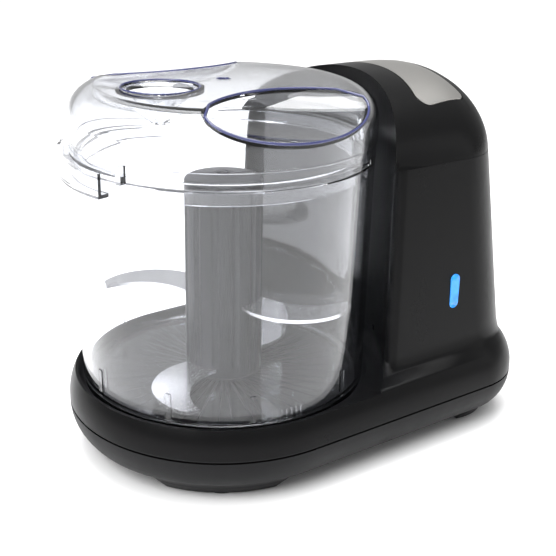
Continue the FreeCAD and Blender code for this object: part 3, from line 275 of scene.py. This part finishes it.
def lit_lens():
    """The lit blue indicator, its blue drifting a little over the lens."""
    material, graph, shader, _ = new_material("Lit blue indicator lens")
    place = graph.add("ShaderNodeTexCoord")
    noise = graph.add("ShaderNodeTexNoise", {
        "Vector": place.outputs["Object"],
        "Scale": 400.0,
        "Detail": 1.0,
    })
    mix = graph.add("ShaderNodeMix", data_type="RGBA")
    graph.feed(mix.inputs["Factor"], noise.outputs["Fac"])
    graph.feed(mix.inputs["A"], (0.008, 0.13, 0.5, 1))
    graph.feed(mix.inputs["B"], (0.03, 0.27, 0.74, 1))
    graph.feed(shader.inputs["Base Color"], mix.outputs["Result"])
    graph.feed(shader.inputs["Emission Color"], mix.outputs["Result"])
    shader.inputs["Emission Strength"].default_value = 0.8
    shader.inputs["Roughness"].default_value = 0.12
    return material


MATERIALS = {
    "satin_black_plastic": moulded("Satin black casing plastic", (0.0035, 0.0035, 0.0037),
                                   0.27, 0.36, 4200, 0.00002, gloss=0.09),
    "matte_black_plastic": moulded("Matte black shell plastic", (0.005, 0.005, 0.0055),
                                   0.4, 0.52, 3200, 0.00004, gloss=0.14),
    "clear_plastic": clear_plastic(),
    "hub_plastic": moulded("Dark grey hub plastic", (0.009, 0.0092, 0.011), 0.34, 0.42, 1400, 0.00001,
                           gloss=0.2),
    "brushed_steel": metal("Brushed press plate steel", (0.46, 0.45, 0.43), 0.3, 0.38, 7000, 0.015, 0.00001,
                           spread=0.015),
    "blade_steel": metal("Ground blade steel", (0.78, 0.78, 0.80), 0.14, 0.3, 5000, 0.2, 0.00002),
    "turned_steel": metal("Turned shaft steel", (0.6, 0.6, 0.62), 0.22, 0.38, 4000, 1.0, 0.00002),
    "zinc_steel": metal("Zinc plated steel", (0.66, 0.66, 0.64), 0.3, 0.48, 900, 1.0, 0.00003),
    "bronze": metal("Sintered bronze", (0.55, 0.38, 0.2), 0.4, 0.6, 2600, 1.0, 0.00005),
    "white_plastic": moulded("White switch plastic", (0.8, 0.8, 0.78), 0.32, 0.45, 2600, 0.00004, 0.03),
    "rubber": moulded("Black foot rubber", (0.03, 0.03, 0.031), 0.62, 0.78, 1800, 0.00008),
    "belt_rubber": moulded("Belt rubber", (0.025, 0.025, 0.026), 0.55, 0.7, 1500, 0.0001),
    "lens_blue": lit_lens(),
    "board_green": moulded("Circuit board green", (0.03, 0.16, 0.075), 0.3, 0.45, 1200, 0.00005, 0.2),
    "ferrite": moulded("Magnet ferrite", (0.05, 0.05, 0.055), 0.5, 0.66, 2200, 0.00006),
    "laminated_iron": metal("Laminated armature iron", (0.35, 0.33, 0.32), 0.35, 0.55, 3000, 1.0, 0.00006),
    # Opaque dark blue for the lid's rims: painted dark refraction over the plastic's blue tint.
    "lid_rim_tint_painted_dark": lid_rim_tint_painted_dark(),
    # Near black and without gloss: painted shade for the joint gaps.
    "seam_shadow": moulded("Painted shade in the joint gaps", (0.001, 0.001, 0.001), 0.8, 0.9, 1800, 0.00002, gloss=0.0),
    "carbon": moulded("Brush carbon", (0.03, 0.03, 0.032), 0.5, 0.64, 1800, 0.00006),
}

for node, item in frame["nodes"].items():
    item.data.materials.clear()
    item.data.materials.append(MATERIALS[SLOT_OF[node]])


# ---------------------------------------------------------------- mesh helpers

def shaded(mesh, angle=SMOOTH_ANGLE):
    mesh.shade_smooth()
    mesh.set_sharp_from_angle(angle=angle)
    return mesh


def piece(name, mesh, node):
    """A finished mesh as the piece that stands for a CAD node."""
    item = bpy.data.objects.new(name, mesh)
    bpy.context.scene.collection.objects.link(item)
    mesh.materials.clear()
    mesh.materials.append(MATERIALS[SLOT_OF[node]])
    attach(item, BODY_OF[node])
    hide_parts(node)
    return item


def merged_copy(node, angle=SMOOTH_ANGLE):
    """The CAD node's own surface with its triangles joined and its curved faces shaded smooth."""
    work = bmesh.new()
    work.from_mesh(frame["nodes"][node].data)
    bmesh.ops.remove_doubles(work, verts=work.verts, dist=2e-6)
    bmesh.ops.dissolve_degenerate(work, edges=work.edges, dist=1e-6)
    mesh = bpy.data.meshes.new(node + "_skin")
    work.to_mesh(mesh)
    work.free()
    return shaded(mesh, angle)


def axis_x(node):
    """Where the upright axis of a round CAD node stands, in millimetres."""
    low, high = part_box(node)
    return (low.x + high.x) / 2 / MM


BOWL_X = axis_x("lower_bush")
RIM_Z = 112.6
LID_Z = 112.9
LID_TOP_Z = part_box("lid")[1].z / MM
WALL = 2.0


def fillet_points(centre_r, centre_z, radius, first, last, steps):
    """Points of an arc in a turning profile, between two angles in degrees."""
    turns = (math.radians(first + (last - first) * i / steps) for i in range(steps + 1))
    return [(centre_r + radius * math.cos(turn), centre_z + radius * math.sin(turn)) for turn in turns]


def ring_skin(work, rings, name):
    """Rings of points joined each to the next and the last to the first, as a closed mesh."""
    for lower, upper in zip(rings, rings[1:] + rings[:1]):
        for i in range(len(lower)):
            corners = list(dict.fromkeys([lower[i], lower[i - 1], upper[i - 1], upper[i]]))
            if len(corners) > 2:
                work.faces.new(corners)
    return closed_mesh(work, name)


def lathe(profile, segments, x):
    """A closed profile of radius and height, turned round the upright axis at x."""
    work = bmesh.new()
    rings = []
    for radius, z in profile:
        if radius < 1e-6:
            rings.append([work.verts.new(Vector((x, 0, z)) * MM)] * segments)
            continue
        ring = []
        for i in range(segments):
            turn = 2 * math.pi * i / segments
            ring.append(work.verts.new(
                Vector((x + radius * math.cos(turn), radius * math.sin(turn), z)) * MM))
        rings.append(ring)
    return ring_skin(work, rings, "lathe")


def closed_mesh(work, name):
    bmesh.ops.remove_doubles(work, verts=work.verts, dist=1e-7)
    bmesh.ops.recalc_face_normals(work, faces=work.faces)
    mesh = bpy.data.meshes.new(name)
    work.to_mesh(mesh)
    work.free()
    return mesh


def ellipsoid(centre, radii, around=96, levels=48):
    """An ellipsoid with its poles along Y."""
    work = bmesh.new()
    bmesh.ops.create_uvsphere(work, u_segments=around, v_segments=levels, radius=1.0)
    for vert in work.verts:
        x, y, z = vert.co
        vert.co = Vector((centre[0] + x * radii[0], centre[1] + z * radii[1], centre[2] + y * radii[2])) * MM
    return closed_mesh(work, "ellipsoid")


def sector_block(inner, outer, low, high, first, last, x, steps=40):
    """Part of a ring round the upright axis at x, between two angles in degrees."""
    work = bmesh.new()
    sections = []
    for i in range(steps + 1):
        turn = math.radians(first + (last - first) * i / steps)
        corners = ((inner, low), (outer, low), (outer, high), (inner, high))
        section = []
        for r, z in corners:
            section.append(work.verts.new(Vector((x + r * math.cos(turn), r * math.sin(turn), z)) * MM))
        sections.append(section)
    for before, after in zip(sections, sections[1:]):
        for i in range(4):
            work.faces.new([before[i - 1], before[i], after[i], after[i - 1]])
    work.faces.new(sections[0])
    work.faces.new(reversed(sections[-1]))
    return closed_mesh(work, "sector")


def combined(base, operation, *tools):
    """A mesh after its booleans with others."""
    item = bpy.data.objects.new("work", base)
    bpy.context.scene.collection.objects.link(item)
    helpers = []
    for mesh in tools:
        helper = bpy.data.objects.new("tool", mesh)
        bpy.context.scene.collection.objects.link(helper)
        helpers.append(helper)
        step = item.modifiers.new("boolean", "BOOLEAN")
        step.operation = operation
        step.solver = "EXACT"
        step.object = helper
    result = bpy.data.meshes.new_from_object(
        item.evaluated_get(bpy.context.evaluated_depsgraph_get()))
    for helper in [item] + helpers:
        bpy.data.objects.remove(helper)
    return result


def joined(*meshes):
    """Separate closed shells as one mesh."""
    work = bmesh.new()
    for mesh in meshes:
        work.from_mesh(mesh)
    mesh = bpy.data.meshes.new("joined")
    work.to_mesh(mesh)
    work.free()
    return mesh


def tube(points, radius, sides=12):
    """A round bead along a closed line of points, given in millimetres."""
    work = bmesh.new()
    count = len(points)
    rings = []
    upright = Vector((0, 0, 1))
    for i, point in enumerate(points):
        along = (points[(i + 1) % count] - points[i - 1]).normalized()
        side = along.cross(upright).normalized()
        other = side.cross(along)
        ring = []
        for j in range(sides):
            turn = 2 * math.pi * j / sides
            away = math.cos(turn) * side + math.sin(turn) * other
            ring.append(work.verts.new((point + radius * away) * MM))
        rings.append(ring)
    return ring_skin(work, rings, "bead")


# ---------------------------------------------------------------- geometry node trees

def geometry_tree(name, inputs):
    """A new geometry node tree with named inputs, and its first and last nodes."""
    tree = bpy.data.node_groups.new(name, "GeometryNodeTree")
    tree.interface.new_socket("Geometry", in_out="INPUT", socket_type="NodeSocketGeometry")
    for label, kind in inputs:
        tree.interface.new_socket(label, in_out="INPUT", socket_type="NodeSocket" + kind)
    tree.interface.new_socket("Geometry", in_out="OUTPUT", socket_type="NodeSocketGeometry")
    graph = Graph(tree)
    return tree, graph, graph.add("NodeGroupInput"), graph.add("NodeGroupOutput")


def finish_tree(graph, given, result, geometry):
    """End a tree in real geometry with its finish."""
    real = graph.add("GeometryNodeRealizeInstances", {"Geometry": geometry})
    finished = graph.add("GeometryNodeSetMaterial", {
        "Geometry": real.outputs["Geometry"],
        "Material": given.outputs["Finish"],
    })
    graph.feed(result.inputs["Geometry"], finished.outputs["Geometry"])


def marks_tree():
    """Small raised marks spaced evenly along an arc round an upright axis."""
    tree, graph, given, result = geometry_tree("Marks on an arc", [
        ("Count", "Int"), ("Arc radius", "Float"), ("First angle", "Float"), ("Sweep", "Float"),
        ("Mark size", "Vector"), ("Place", "Vector"), ("Finish", "Material")])
    arc = graph.add("GeometryNodeCurveArc", {
        "Resolution": given.outputs["Count"],
        "Radius": given.outputs["Arc radius"],
        "Start Angle": given.outputs["First angle"],
        "Sweep Angle": given.outputs["Sweep"],
    }, mode="RADIUS")
    block = graph.add("GeometryNodeMeshCube", {"Size": given.outputs["Mark size"]})
    tangent = graph.add("GeometryNodeInputTangent")
    turned = graph.add("FunctionNodeAlignRotationToVector", {"Vector": tangent.outputs["Tangent"]}, axis="X")
    marks = graph.add("GeometryNodeInstanceOnPoints", {
        "Points": arc.outputs["Curve"],
        "Instance": block.outputs["Mesh"],
        "Rotation": turned.outputs["Rotation"],
    })
    placed = graph.add("GeometryNodeTransform", {
        "Geometry": marks.outputs["Instances"],
        "Translation": given.outputs["Place"],
    })
    finish_tree(graph, given, result, placed.outputs["Geometry"])
    return tree


def seam_tree():
    """A thin square strip that follows a closed line."""
    tree, graph, given, result = geometry_tree("Strip along a line", [
        ("Strip width", "Float"), ("Finish", "Material")])
    line = graph.add("GeometryNodeMeshToCurve", {"Mesh": given.outputs["Geometry"]})
    upright = graph.add("GeometryNodeSetCurveNormal", {"Curve": line.outputs["Curve"]}, mode="Z_UP")
    section = graph.add("GeometryNodeCurvePrimitiveQuadrilateral", {
        "Width": given.outputs["Strip width"],
        "Height": given.outputs["Strip width"],
    })
    strip = graph.add("GeometryNodeCurveToMesh", {
        "Curve": upright.outputs["Curve"],
        "Profile Curve": section.outputs["Curve"],
    })
    finish_tree(graph, given, result, strip.outputs["Mesh"])
    return tree


def grown(tree, start, values):
    """The plain mesh that a geometry tree makes from a starting mesh."""
    item = bpy.data.objects.new("grown", start)
    bpy.context.scene.collection.objects.link(item)
    step = item.modifiers.new("grow", "NODES")
    step.node_group = tree
    for socket in tree.interface.items_tree:
        if socket.in_out == "INPUT" and socket.name in values:
            step[socket.identifier] = values[socket.name]
    result = bpy.data.meshes.new_from_object(item.evaluated_get(bpy.context.evaluated_depsgraph_get()))
    item.modifiers.remove(step)
    bpy.data.objects.remove(item)
    return result


def closed_lines(edges):
    """The closed lines that a set of mesh edges forms, as lists of points."""
    near = {}
    for edge in edges:
        first, last = edge.verts
        near.setdefault(first, []).append(last)
        near.setdefault(last, []).append(first)
    lines = []
    while near:
        vert = next(iter(near))
        line = []
        while vert in near:
            line.append(vert.co.copy())
            following = [other for other in near.pop(vert) if other in near]
            vert = following[0] if following else None
        lines.append(line)
    return lines


def outline_at(node, z, inset):
    """The longest line round a CAD node at a height, drawn inwards a little, as a mesh of edges."""
    work = bmesh.new()
    work.from_mesh(merged_copy(node))
    parts = work.verts[:] + work.edges[:] + work.faces[:]
    cut = bmesh.ops.bisect_plane(work, geom=parts, dist=1e-7, plane_co=(0, 0, z * MM), plane_no=(0, 0, 1))
    lines = closed_lines([item for item in cut["geom_cut"] if isinstance(item, bmesh.types.BMEdge)])
    work.free()
    line = max(lines, key=lambda points: sum((a - b).length for a, b in zip(points, points[1:])))
    area = sum(a.x * b.y - b.x * a.y for a, b in zip(line, line[1:] + line[:1]))
    side = 1 if area > 0 else -1
    drawn = []
    for i, point in enumerate(line):
        along = (line[(i + 1) % len(line)] - line[i - 1]).normalized()
        drawn.append(point + Vector((-along.y, along.x, 0)) * inset * MM * side)
    mesh = bpy.data.meshes.new(node + "_outline")
    mesh.from_pydata(drawn, [(i, (i + 1) % len(drawn)) for i in range(len(drawn))], [])
    return mesh


def keep_inside(mesh):
    """Hold a mesh's points inside the CAD model's box."""
    for vert in mesh.vertices:
        for axis in range(3):
            vert.co[axis] = min(max(vert.co[axis], cad_bounds[0][axis]), cad_bounds[1][axis])


JOINT_STRIP = 0.7
JOINT_STRIP_INSET = 0.34
# Where the strips of painted shade lie: in the joints between the cap and the tower, and between the housing
# and the lower shell.
JOINT_STRIPS = (
    ("cap_joint_painted_shade", "main_housing", 109.6),
    ("base_joint_painted_shade", "lower_shell", 18.8),
)


def build_seams():
    """Near-black strips of painted shade in the gaps where the cap meets the tower and the housing meets the
    lower shell.
    """
    tree = seam_tree()
    finish = MATERIALS["seam_shadow"]
    for name, node, z in JOINT_STRIPS:
        mesh = grown(tree, outline_at(node, z, JOINT_STRIP_INSET), {
            "Strip width": JOINT_STRIP * MM,
            "Finish": finish,
        })
        keep_inside(mesh)
        gap = piece(name, mesh, node)
        # The strip takes the near-black joint finish, which is painted shade in the gap.
        gap.data.materials[0] = finish


def build_level_marks():
    """Raised level marks low on the front of the bowl."""
    mesh = grown(marks_tree(), bpy.data.meshes.new("start"), {
        "Count": 8,
        "Arc radius": 53.45 * MM,
        "First angle": math.radians(-107),
        "Sweep": math.radians(14),
        "Mark size": (0.5 * MM, 0.5 * MM, 4.0 * MM),
        "Place": (BOWL_X * MM, 0.0, 32.5 * MM),
        "Finish": MATERIALS["clear_plastic"],
    })
    piece("bowl_level_marks", mesh, "bowl")


# ---------------------------------------------------------------- the lid

LID_RADIUS = 55.0
LID_ROUNDING = 11.0
LID_CROWN = 1.4
LID_BAND_TOP = LID_Z + 6.0
GRIP_RADII = Vector((42.0, 35.0, 13.0))
GRIP_OFFSET = 58.0
FUNNEL_X = BOWL_X - 25.4
FUNNEL_RIM = 13.4
FUNNEL_FLOOR_Z = 137.2


def lid_crown_points(inset, steps=10):
    """The side's rounded shoulder and the low crown, from the side to the axis."""
    edge_z = LID_TOP_Z - LID_CROWN - inset
    rounding = LID_ROUNDING - inset
    flat = LID_RADIUS - LID_ROUNDING
    points = fillet_points(flat, edge_z - rounding, rounding, 0, 90, 14)
    for i in range(1, steps + 1):
        radius = flat * (1 - i / steps)
        points.append((radius, edge_z + LID_CROWN * (1 - (radius / flat) ** 2)))
    return points


def lid_drum(inset):
    """The lid's bulk with its band and skirt, or with an inset the space inside it."""
    if inset:
        low = [(0, 100), (50.5, 100), (50.5, LID_Z + inset), (LID_RADIUS - inset, LID_Z + inset)]
    else:
        low = [(0, 107.6), (51.5, 107.6), (51.9, 108.0), (51.9, 112.9), (54.3, 112.9), (54.6, 113.2),
               (54.6, LID_BAND_TOP - 0.2), (54.8, LID_BAND_TOP), (55.0, LID_BAND_TOP + 0.2)]
    return lathe(low + lid_crown_points(inset), 192, BOWL_X)


def grip(grow, side):
    radii = GRIP_RADII + Vector((grow, grow, grow))
    return ellipsoid(Vector((BOWL_X, GRIP_OFFSET * side, LID_TOP_Z + 1.4)), radii)


def funnel_cutter():
    return lathe([
        (0, 126), (1.4, 126), (1.4, 128), (10.6, 136.7), (11.3, FUNNEL_FLOOR_Z), (13.0, FUNNEL_FLOOR_Z),
        (FUNNEL_RIM, 137.6), (FUNNEL_RIM, 150), (0, 150)], 96, FUNNEL_X)


def funnel_wall():
    return lathe([(0, 126.5), (2.8, 126.5), (11.7, 135.0), (15.0, 135.0), (15.0, 150), (0, 150)],
                 96, FUNNEL_X)


def lid_mesh():
    body = combined(lid_drum(0), "DIFFERENCE", grip(0, -1), grip(0, 1))
    inside = combined(lid_drum(WALL), "DIFFERENCE", grip(WALL, -1), grip(WALL, 1), funnel_wall())
    lug = sector_block(54.0, 56.9, 113.2, 115.2, 150, 201, BOWL_X)
    stop = sector_block(54.0, 57.3, LID_Z, LID_BAND_TOP, 200.6, 202.6, BOWL_X, 4)
    tongue = sector_block(54.0, 55.8, 113.2, 117.8, -17, -13, BOWL_X, 4)
    vent = lathe([(0, 130), (2.2, 130), (2.2, 150), (0, 150)], 48, BOWL_X)
    body = combined(body, "UNION", lug, stop, tongue)
    return combined(body, "DIFFERENCE", inside, funnel_cutter(), vent)


def in_grip(point):
    """Below zero inside the finger grip's ellipsoid on the point's own side."""
    side = -1 if point.y < 0 else 1
    away = point - Vector((BOWL_X, GRIP_OFFSET * side, LID_TOP_Z + 1.4))
    return sum((away[i] / GRIP_RADII[i]) ** 2 for i in range(3)) - 1


def drum_point(along, turn):
    """A point of the lid's outside: along 0 is the axis, 1 the start of the shoulder, 2 its end, 3 low."""
    edge_z = LID_TOP_Z - LID_CROWN
    flat = LID_RADIUS - LID_ROUNDING
    if along < 1:
        radius, z = flat * along, edge_z + LID_CROWN * (1 - along ** 2)
    elif along < 2:
        lean = (along - 1) * math.pi / 2
        radius = flat + LID_ROUNDING * math.sin(lean)
        z = edge_z - LID_ROUNDING + LID_ROUNDING * math.cos(lean)
    else:
        radius, z = LID_RADIUS, edge_z - LID_ROUNDING - (along - 2) * 8
    return Vector((BOWL_X + radius * math.cos(turn), radius * math.sin(turn), z))


def crossing(turn, low, high):
    """Where a line down the lid's outside enters or leaves the grip."""
    start = in_grip(drum_point(low, turn))
    for _ in range(30):
        middle = (low + high) / 2
        if (in_grip(drum_point(middle, turn)) < 0) == (start < 0):
            low = middle
        else:
            high = middle
    return drum_point((low + high) / 2, turn)


def grip_outline(side):
    """The closed edge between a finger grip and the lid's outside."""
    upper, lower = [], []
    steps = 110
    for i in range(1, steps):
        turn = math.radians(90 * side - 75 + 150 * i / steps)
        inside = [a / 40 for a in range(10, 118) if in_grip(drum_point(a / 40, turn)) < 0]
        if inside:
            upper.append(crossing(turn, inside[0] - 1 / 40, inside[0]))
            lower.append(crossing(turn, inside[-1], inside[-1] + 1 / 40))
    return upper + lower[::-1]


def circle(radius, x, z, steps=96):
    turns = (2 * math.pi * i / steps for i in range(steps))
    return [Vector((x + radius * math.cos(t), radius * math.sin(t), z)) for t in turns]


def build_lid():
    piece("clear_lid", shaded(lid_mesh(), math.radians(24)), "lid")
    # Opaque dark blue beads along the grip edges, the funnel rim and the vent: painted dark refraction of
    # the clear rims, over the plastic's blue tint.
    beads = [tube(grip_outline(side), 0.5) for side in (-1, 1)]
    beads.append(tube(circle(FUNNEL_RIM, FUNNEL_X, 138.0), 0.35))
    beads.append(tube(circle(2.3, BOWL_X, LID_TOP_Z - 0.4, 32), 0.35))
    rims = piece("lid_rim_painted_dark_beads", shaded(joined(*beads)), "lid")
    rims.data.materials[0] = MATERIALS["lid_rim_tint_painted_dark"]


# ---------------------------------------------------------------- the bowl

BOWL_FOOT_Z = 25.3
BOWL_FLOOR_Z = BOWL_FOOT_Z + 2.2
RIB_ANGLES = (-177, -143.5, -112.3, -71.5, 3, 36.5, 67.7, 108.5)


def bowl_mesh():
    foot = 53.4
    rim = 54.4
    post_z = BOWL_FOOT_Z + 46.7
    profile = [(9.6, BOWL_FOOT_Z), (foot - 3, BOWL_FOOT_Z)]
    profile += fillet_points(foot - 3, BOWL_FOOT_Z + 3, 3, -80, 0, 8)
    profile += [(foot + (rim - foot) * i / 8, BOWL_FOOT_Z + 3 + (RIM_Z - BOWL_FOOT_Z - 3.3) * i / 8)
                for i in range(1, 9)]
    profile += [(rim - 0.3, RIM_Z), (rim - WALL + 0.3, RIM_Z), (rim - WALL, RIM_Z - 0.3)]
    profile += [(rim - WALL - (rim - foot) * i / 8, RIM_Z - 0.3 - (RIM_Z - 0.3 - BOWL_FLOOR_Z - 4) * i / 8)
                for i in range(1, 9)]
    profile += fillet_points(foot - WALL - 4, BOWL_FLOOR_Z + 4, 4, -10, -90, 8)
    profile += [(12.4, BOWL_FLOOR_Z), (11.6, BOWL_FLOOR_Z + 0.4), (11.4, BOWL_FLOOR_Z + 1.2)]
    profile += [(11.4, post_z - 0.8), (10.6, post_z), (5.2, post_z)]
    profile += [(5.2, post_z - 1.8), (9.6, post_z - 1.8)]
    body = lathe(profile, 192, BOWL_X)
    ribs = []
    for angle in RIB_ANGLES:
        ribs.append(sector_block(foot - 1, foot + 0.6, 31, 41, angle - 1.1, angle + 1.1, BOWL_X, 2))
    channel = [
        sector_block(53.8, 58.7, 107.0, 108.3, 142, 194, BOWL_X),
        sector_block(57.4, 58.7, 107.2, 115.5, 142, 194, BOWL_X),
        sector_block(53.8, 58.7, 107.0, 112.6, 142, 143.4, BOWL_X, 2),
    ]
    return combined(body, "UNION", *ribs, *channel)


def build_bowl():
    piece("clear_bowl", shaded(bowl_mesh(), math.radians(24)), "bowl")


# ---------------------------------------------------------------- the blade hub

HUB_FOOT_Z = 28.3
HUB_TOP_Z = HUB_FOOT_Z + 77.0
HUB_RADIUS = 14.4


def fluted(radius, turn, depth):
    """The hub's outside at an angle, with twelve round flutes of a share of their full depth."""
    centre = HUB_RADIUS + 1.1
    bite = 1.9
    off = (math.degrees(turn) - 15) % 30
    off = math.radians(min(off, 30 - off))
    across = centre * math.sin(off)
    if abs(across) >= bite or depth == 0:
        return radius
    groove = centre * math.cos(off) - math.sqrt(bite ** 2 - across ** 2)
    return radius - max(0.0, HUB_RADIUS - groove) * depth


def hub_mesh():
    segments = 240
    levels = [
        (12.0, HUB_FOOT_Z, 0), (HUB_RADIUS - 0.3, HUB_FOOT_Z, 0), (HUB_RADIUS, HUB_FOOT_Z + 0.3, 0),
        (HUB_RADIUS, HUB_FOOT_Z + 4.4, 0), (HUB_RADIUS, HUB_FOOT_Z + 5.6, 0.8),
        (HUB_RADIUS, HUB_FOOT_Z + 7, 1), (HUB_RADIUS, HUB_TOP_Z - 10, 1),
        (HUB_RADIUS, HUB_TOP_Z - 8.6, 0.8), (HUB_RADIUS, HUB_TOP_Z - 7.4, 0),
        (HUB_RADIUS, HUB_TOP_Z - 3.2, 0)]
    levels += [(r, z, 0) for r, z in fillet_points(HUB_RADIUS - 1.4, HUB_TOP_Z - 3.2, 1.4, 8, 80, 7)]
    levels += [(9.0, HUB_TOP_Z - 1.2, 0), (4.4, HUB_TOP_Z - 0.4, 0), (3.4, HUB_TOP_Z - 0.2, 0),
               (2.6, HUB_TOP_Z - 0.4, 0), (1.8, HUB_TOP_Z - 1.4, 0), (0, HUB_TOP_Z - 1.4, 0),
               (0, HUB_TOP_Z - 8, 0), (11.9, HUB_TOP_Z - 8, 0)]
    work = bmesh.new()
    rings = []
    for radius, z, depth in levels:
        if radius == 0:
            rings.append([work.verts.new(Vector((BOWL_X, 0, z)) * MM)] * segments)
            continue
        ring = []
        for i in range(segments):
            turn = 2 * math.pi * i / segments
            r = fluted(radius, turn, depth)
            ring.append(work.verts.new(Vector((BOWL_X + r * math.cos(turn), r * math.sin(turn), z)) * MM))
        rings.append(ring)
    return ring_skin(work, rings, "hub")


def build_hub():
    piece("fluted_blade_hub", shaded(hub_mesh()), "blade_hub")


# ---------------------------------------------------------------- all pieces

OWN_SHAPES = ("lid", "bowl", "blade_hub")


def build_all():
    build_lid()
    build_bowl()
    build_hub()
    for node in frame["nodes"]:
        if node in OWN_SHAPES:
            continue
        piece(node + "_skin", merged_copy(node), node)
    build_seams()
    build_level_marks()


build_all()


# ---------------------------------------------------------------- floor, light, camera

def floor_and_light():
    bpy.ops.mesh.primitive_plane_add(size=12)
    floor = bpy.context.object
    floor.name = "studio_floor"
    material, graph, shader, _ = new_material("Pale studio floor")
    tinted(graph, shader, (0.93, 0.93, 0.932), 0.006)
    shader.inputs["Roughness"].default_value = 0.5
    floor.data.materials.append(material)

    world = bpy.data.worlds.new("Studio")
    world.use_nodes = True
    world.node_tree.nodes.clear()
    graph = Graph(world.node_tree)
    seen = graph.add("ShaderNodeBackground", {"Color": (1, 1, 1, 1), "Strength": 1.0})
    glow = graph.add("ShaderNodeBackground", {"Color": (1, 1, 1, 1), "Strength": 0.5})
    path = graph.add("ShaderNodeLightPath")
    mix = graph.add("ShaderNodeMixShader", {
        0: path.outputs["Is Camera Ray"], 1: glow.outputs[0], 2: seen.outputs[0]})
    graph.add("ShaderNodeOutputWorld", {"Surface": mix.outputs[0]})
    bpy.context.scene.world = world

    sky = bpy.data.lights.new("soft_sky", "SUN")
    sky.energy = 2.0
    sky.angle = math.radians(60)
    item = bpy.data.objects.new("soft_sky", sky)
    bpy.context.scene.collection.objects.link(item)
    item.rotation_euler = (math.radians(12), math.radians(-8), 0)

    middle = Vector((0, 0, 0.07))
    for name, place, size, power in LIGHTS:
        light = bpy.data.lights.new(name, "AREA")
        light.shape = "RECTANGLE"
        light.size = size[0]
        light.size_y = size[1]
        light.energy = power
        item = bpy.data.objects.new(name, light)
        bpy.context.scene.collection.objects.link(item)
        item.location = place
        item.rotation_euler = (middle - Vector(place)).to_track_quat("-Z", "Y").to_euler()


LIGHTS = (
    ("left_window", (-0.75, -0.25, 0.75), (0.6, 0.6), 9.0),
    ("top_panel", (0.1, 0.15, 1.1), (0.9, 0.6), 12.0),
    ("right_strip", (0.75, -0.65, 0.45), (0.12, 0.7), 0.7),
)


CAMERA_PLACE = (-226.55, -306.0, 204.4)
CAMERA_TURN = (-36.13, 21.10, 1.087)


def camera():
    """Three-quarter view from the front left, a little above the lid."""
    azimuth, down, roll = (math.radians(angle) for angle in CAMERA_TURN)
    heading = Vector((-math.sin(azimuth), math.cos(azimuth), 0))
    forward = heading * math.cos(down) - Vector((0, 0, math.sin(down)))
    level = Vector((math.cos(azimuth), math.sin(azimuth), 0))
    upright = level.cross(forward)
    right = math.cos(roll) * level + math.sin(roll) * upright
    up = math.cos(roll) * upright - math.sin(roll) * level
    lens = bpy.data.cameras.new("camera")
    lens.lens = 67.2
    lens.sensor_width = 36.0
    lens.clip_start = 0.01
    item = bpy.data.objects.new("camera", lens)
    bpy.context.scene.collection.objects.link(item)
    turn = Matrix((right, up, -forward)).transposed().to_4x4()
    item.matrix_world = Matrix.Translation(Vector(CAMERA_PLACE) * MM) @ turn
    bpy.context.scene.camera = item


floor_and_light()
camera()
bpy.context.scene.view_settings.view_transform = "Standard"

bpy.context.view_layer.update()
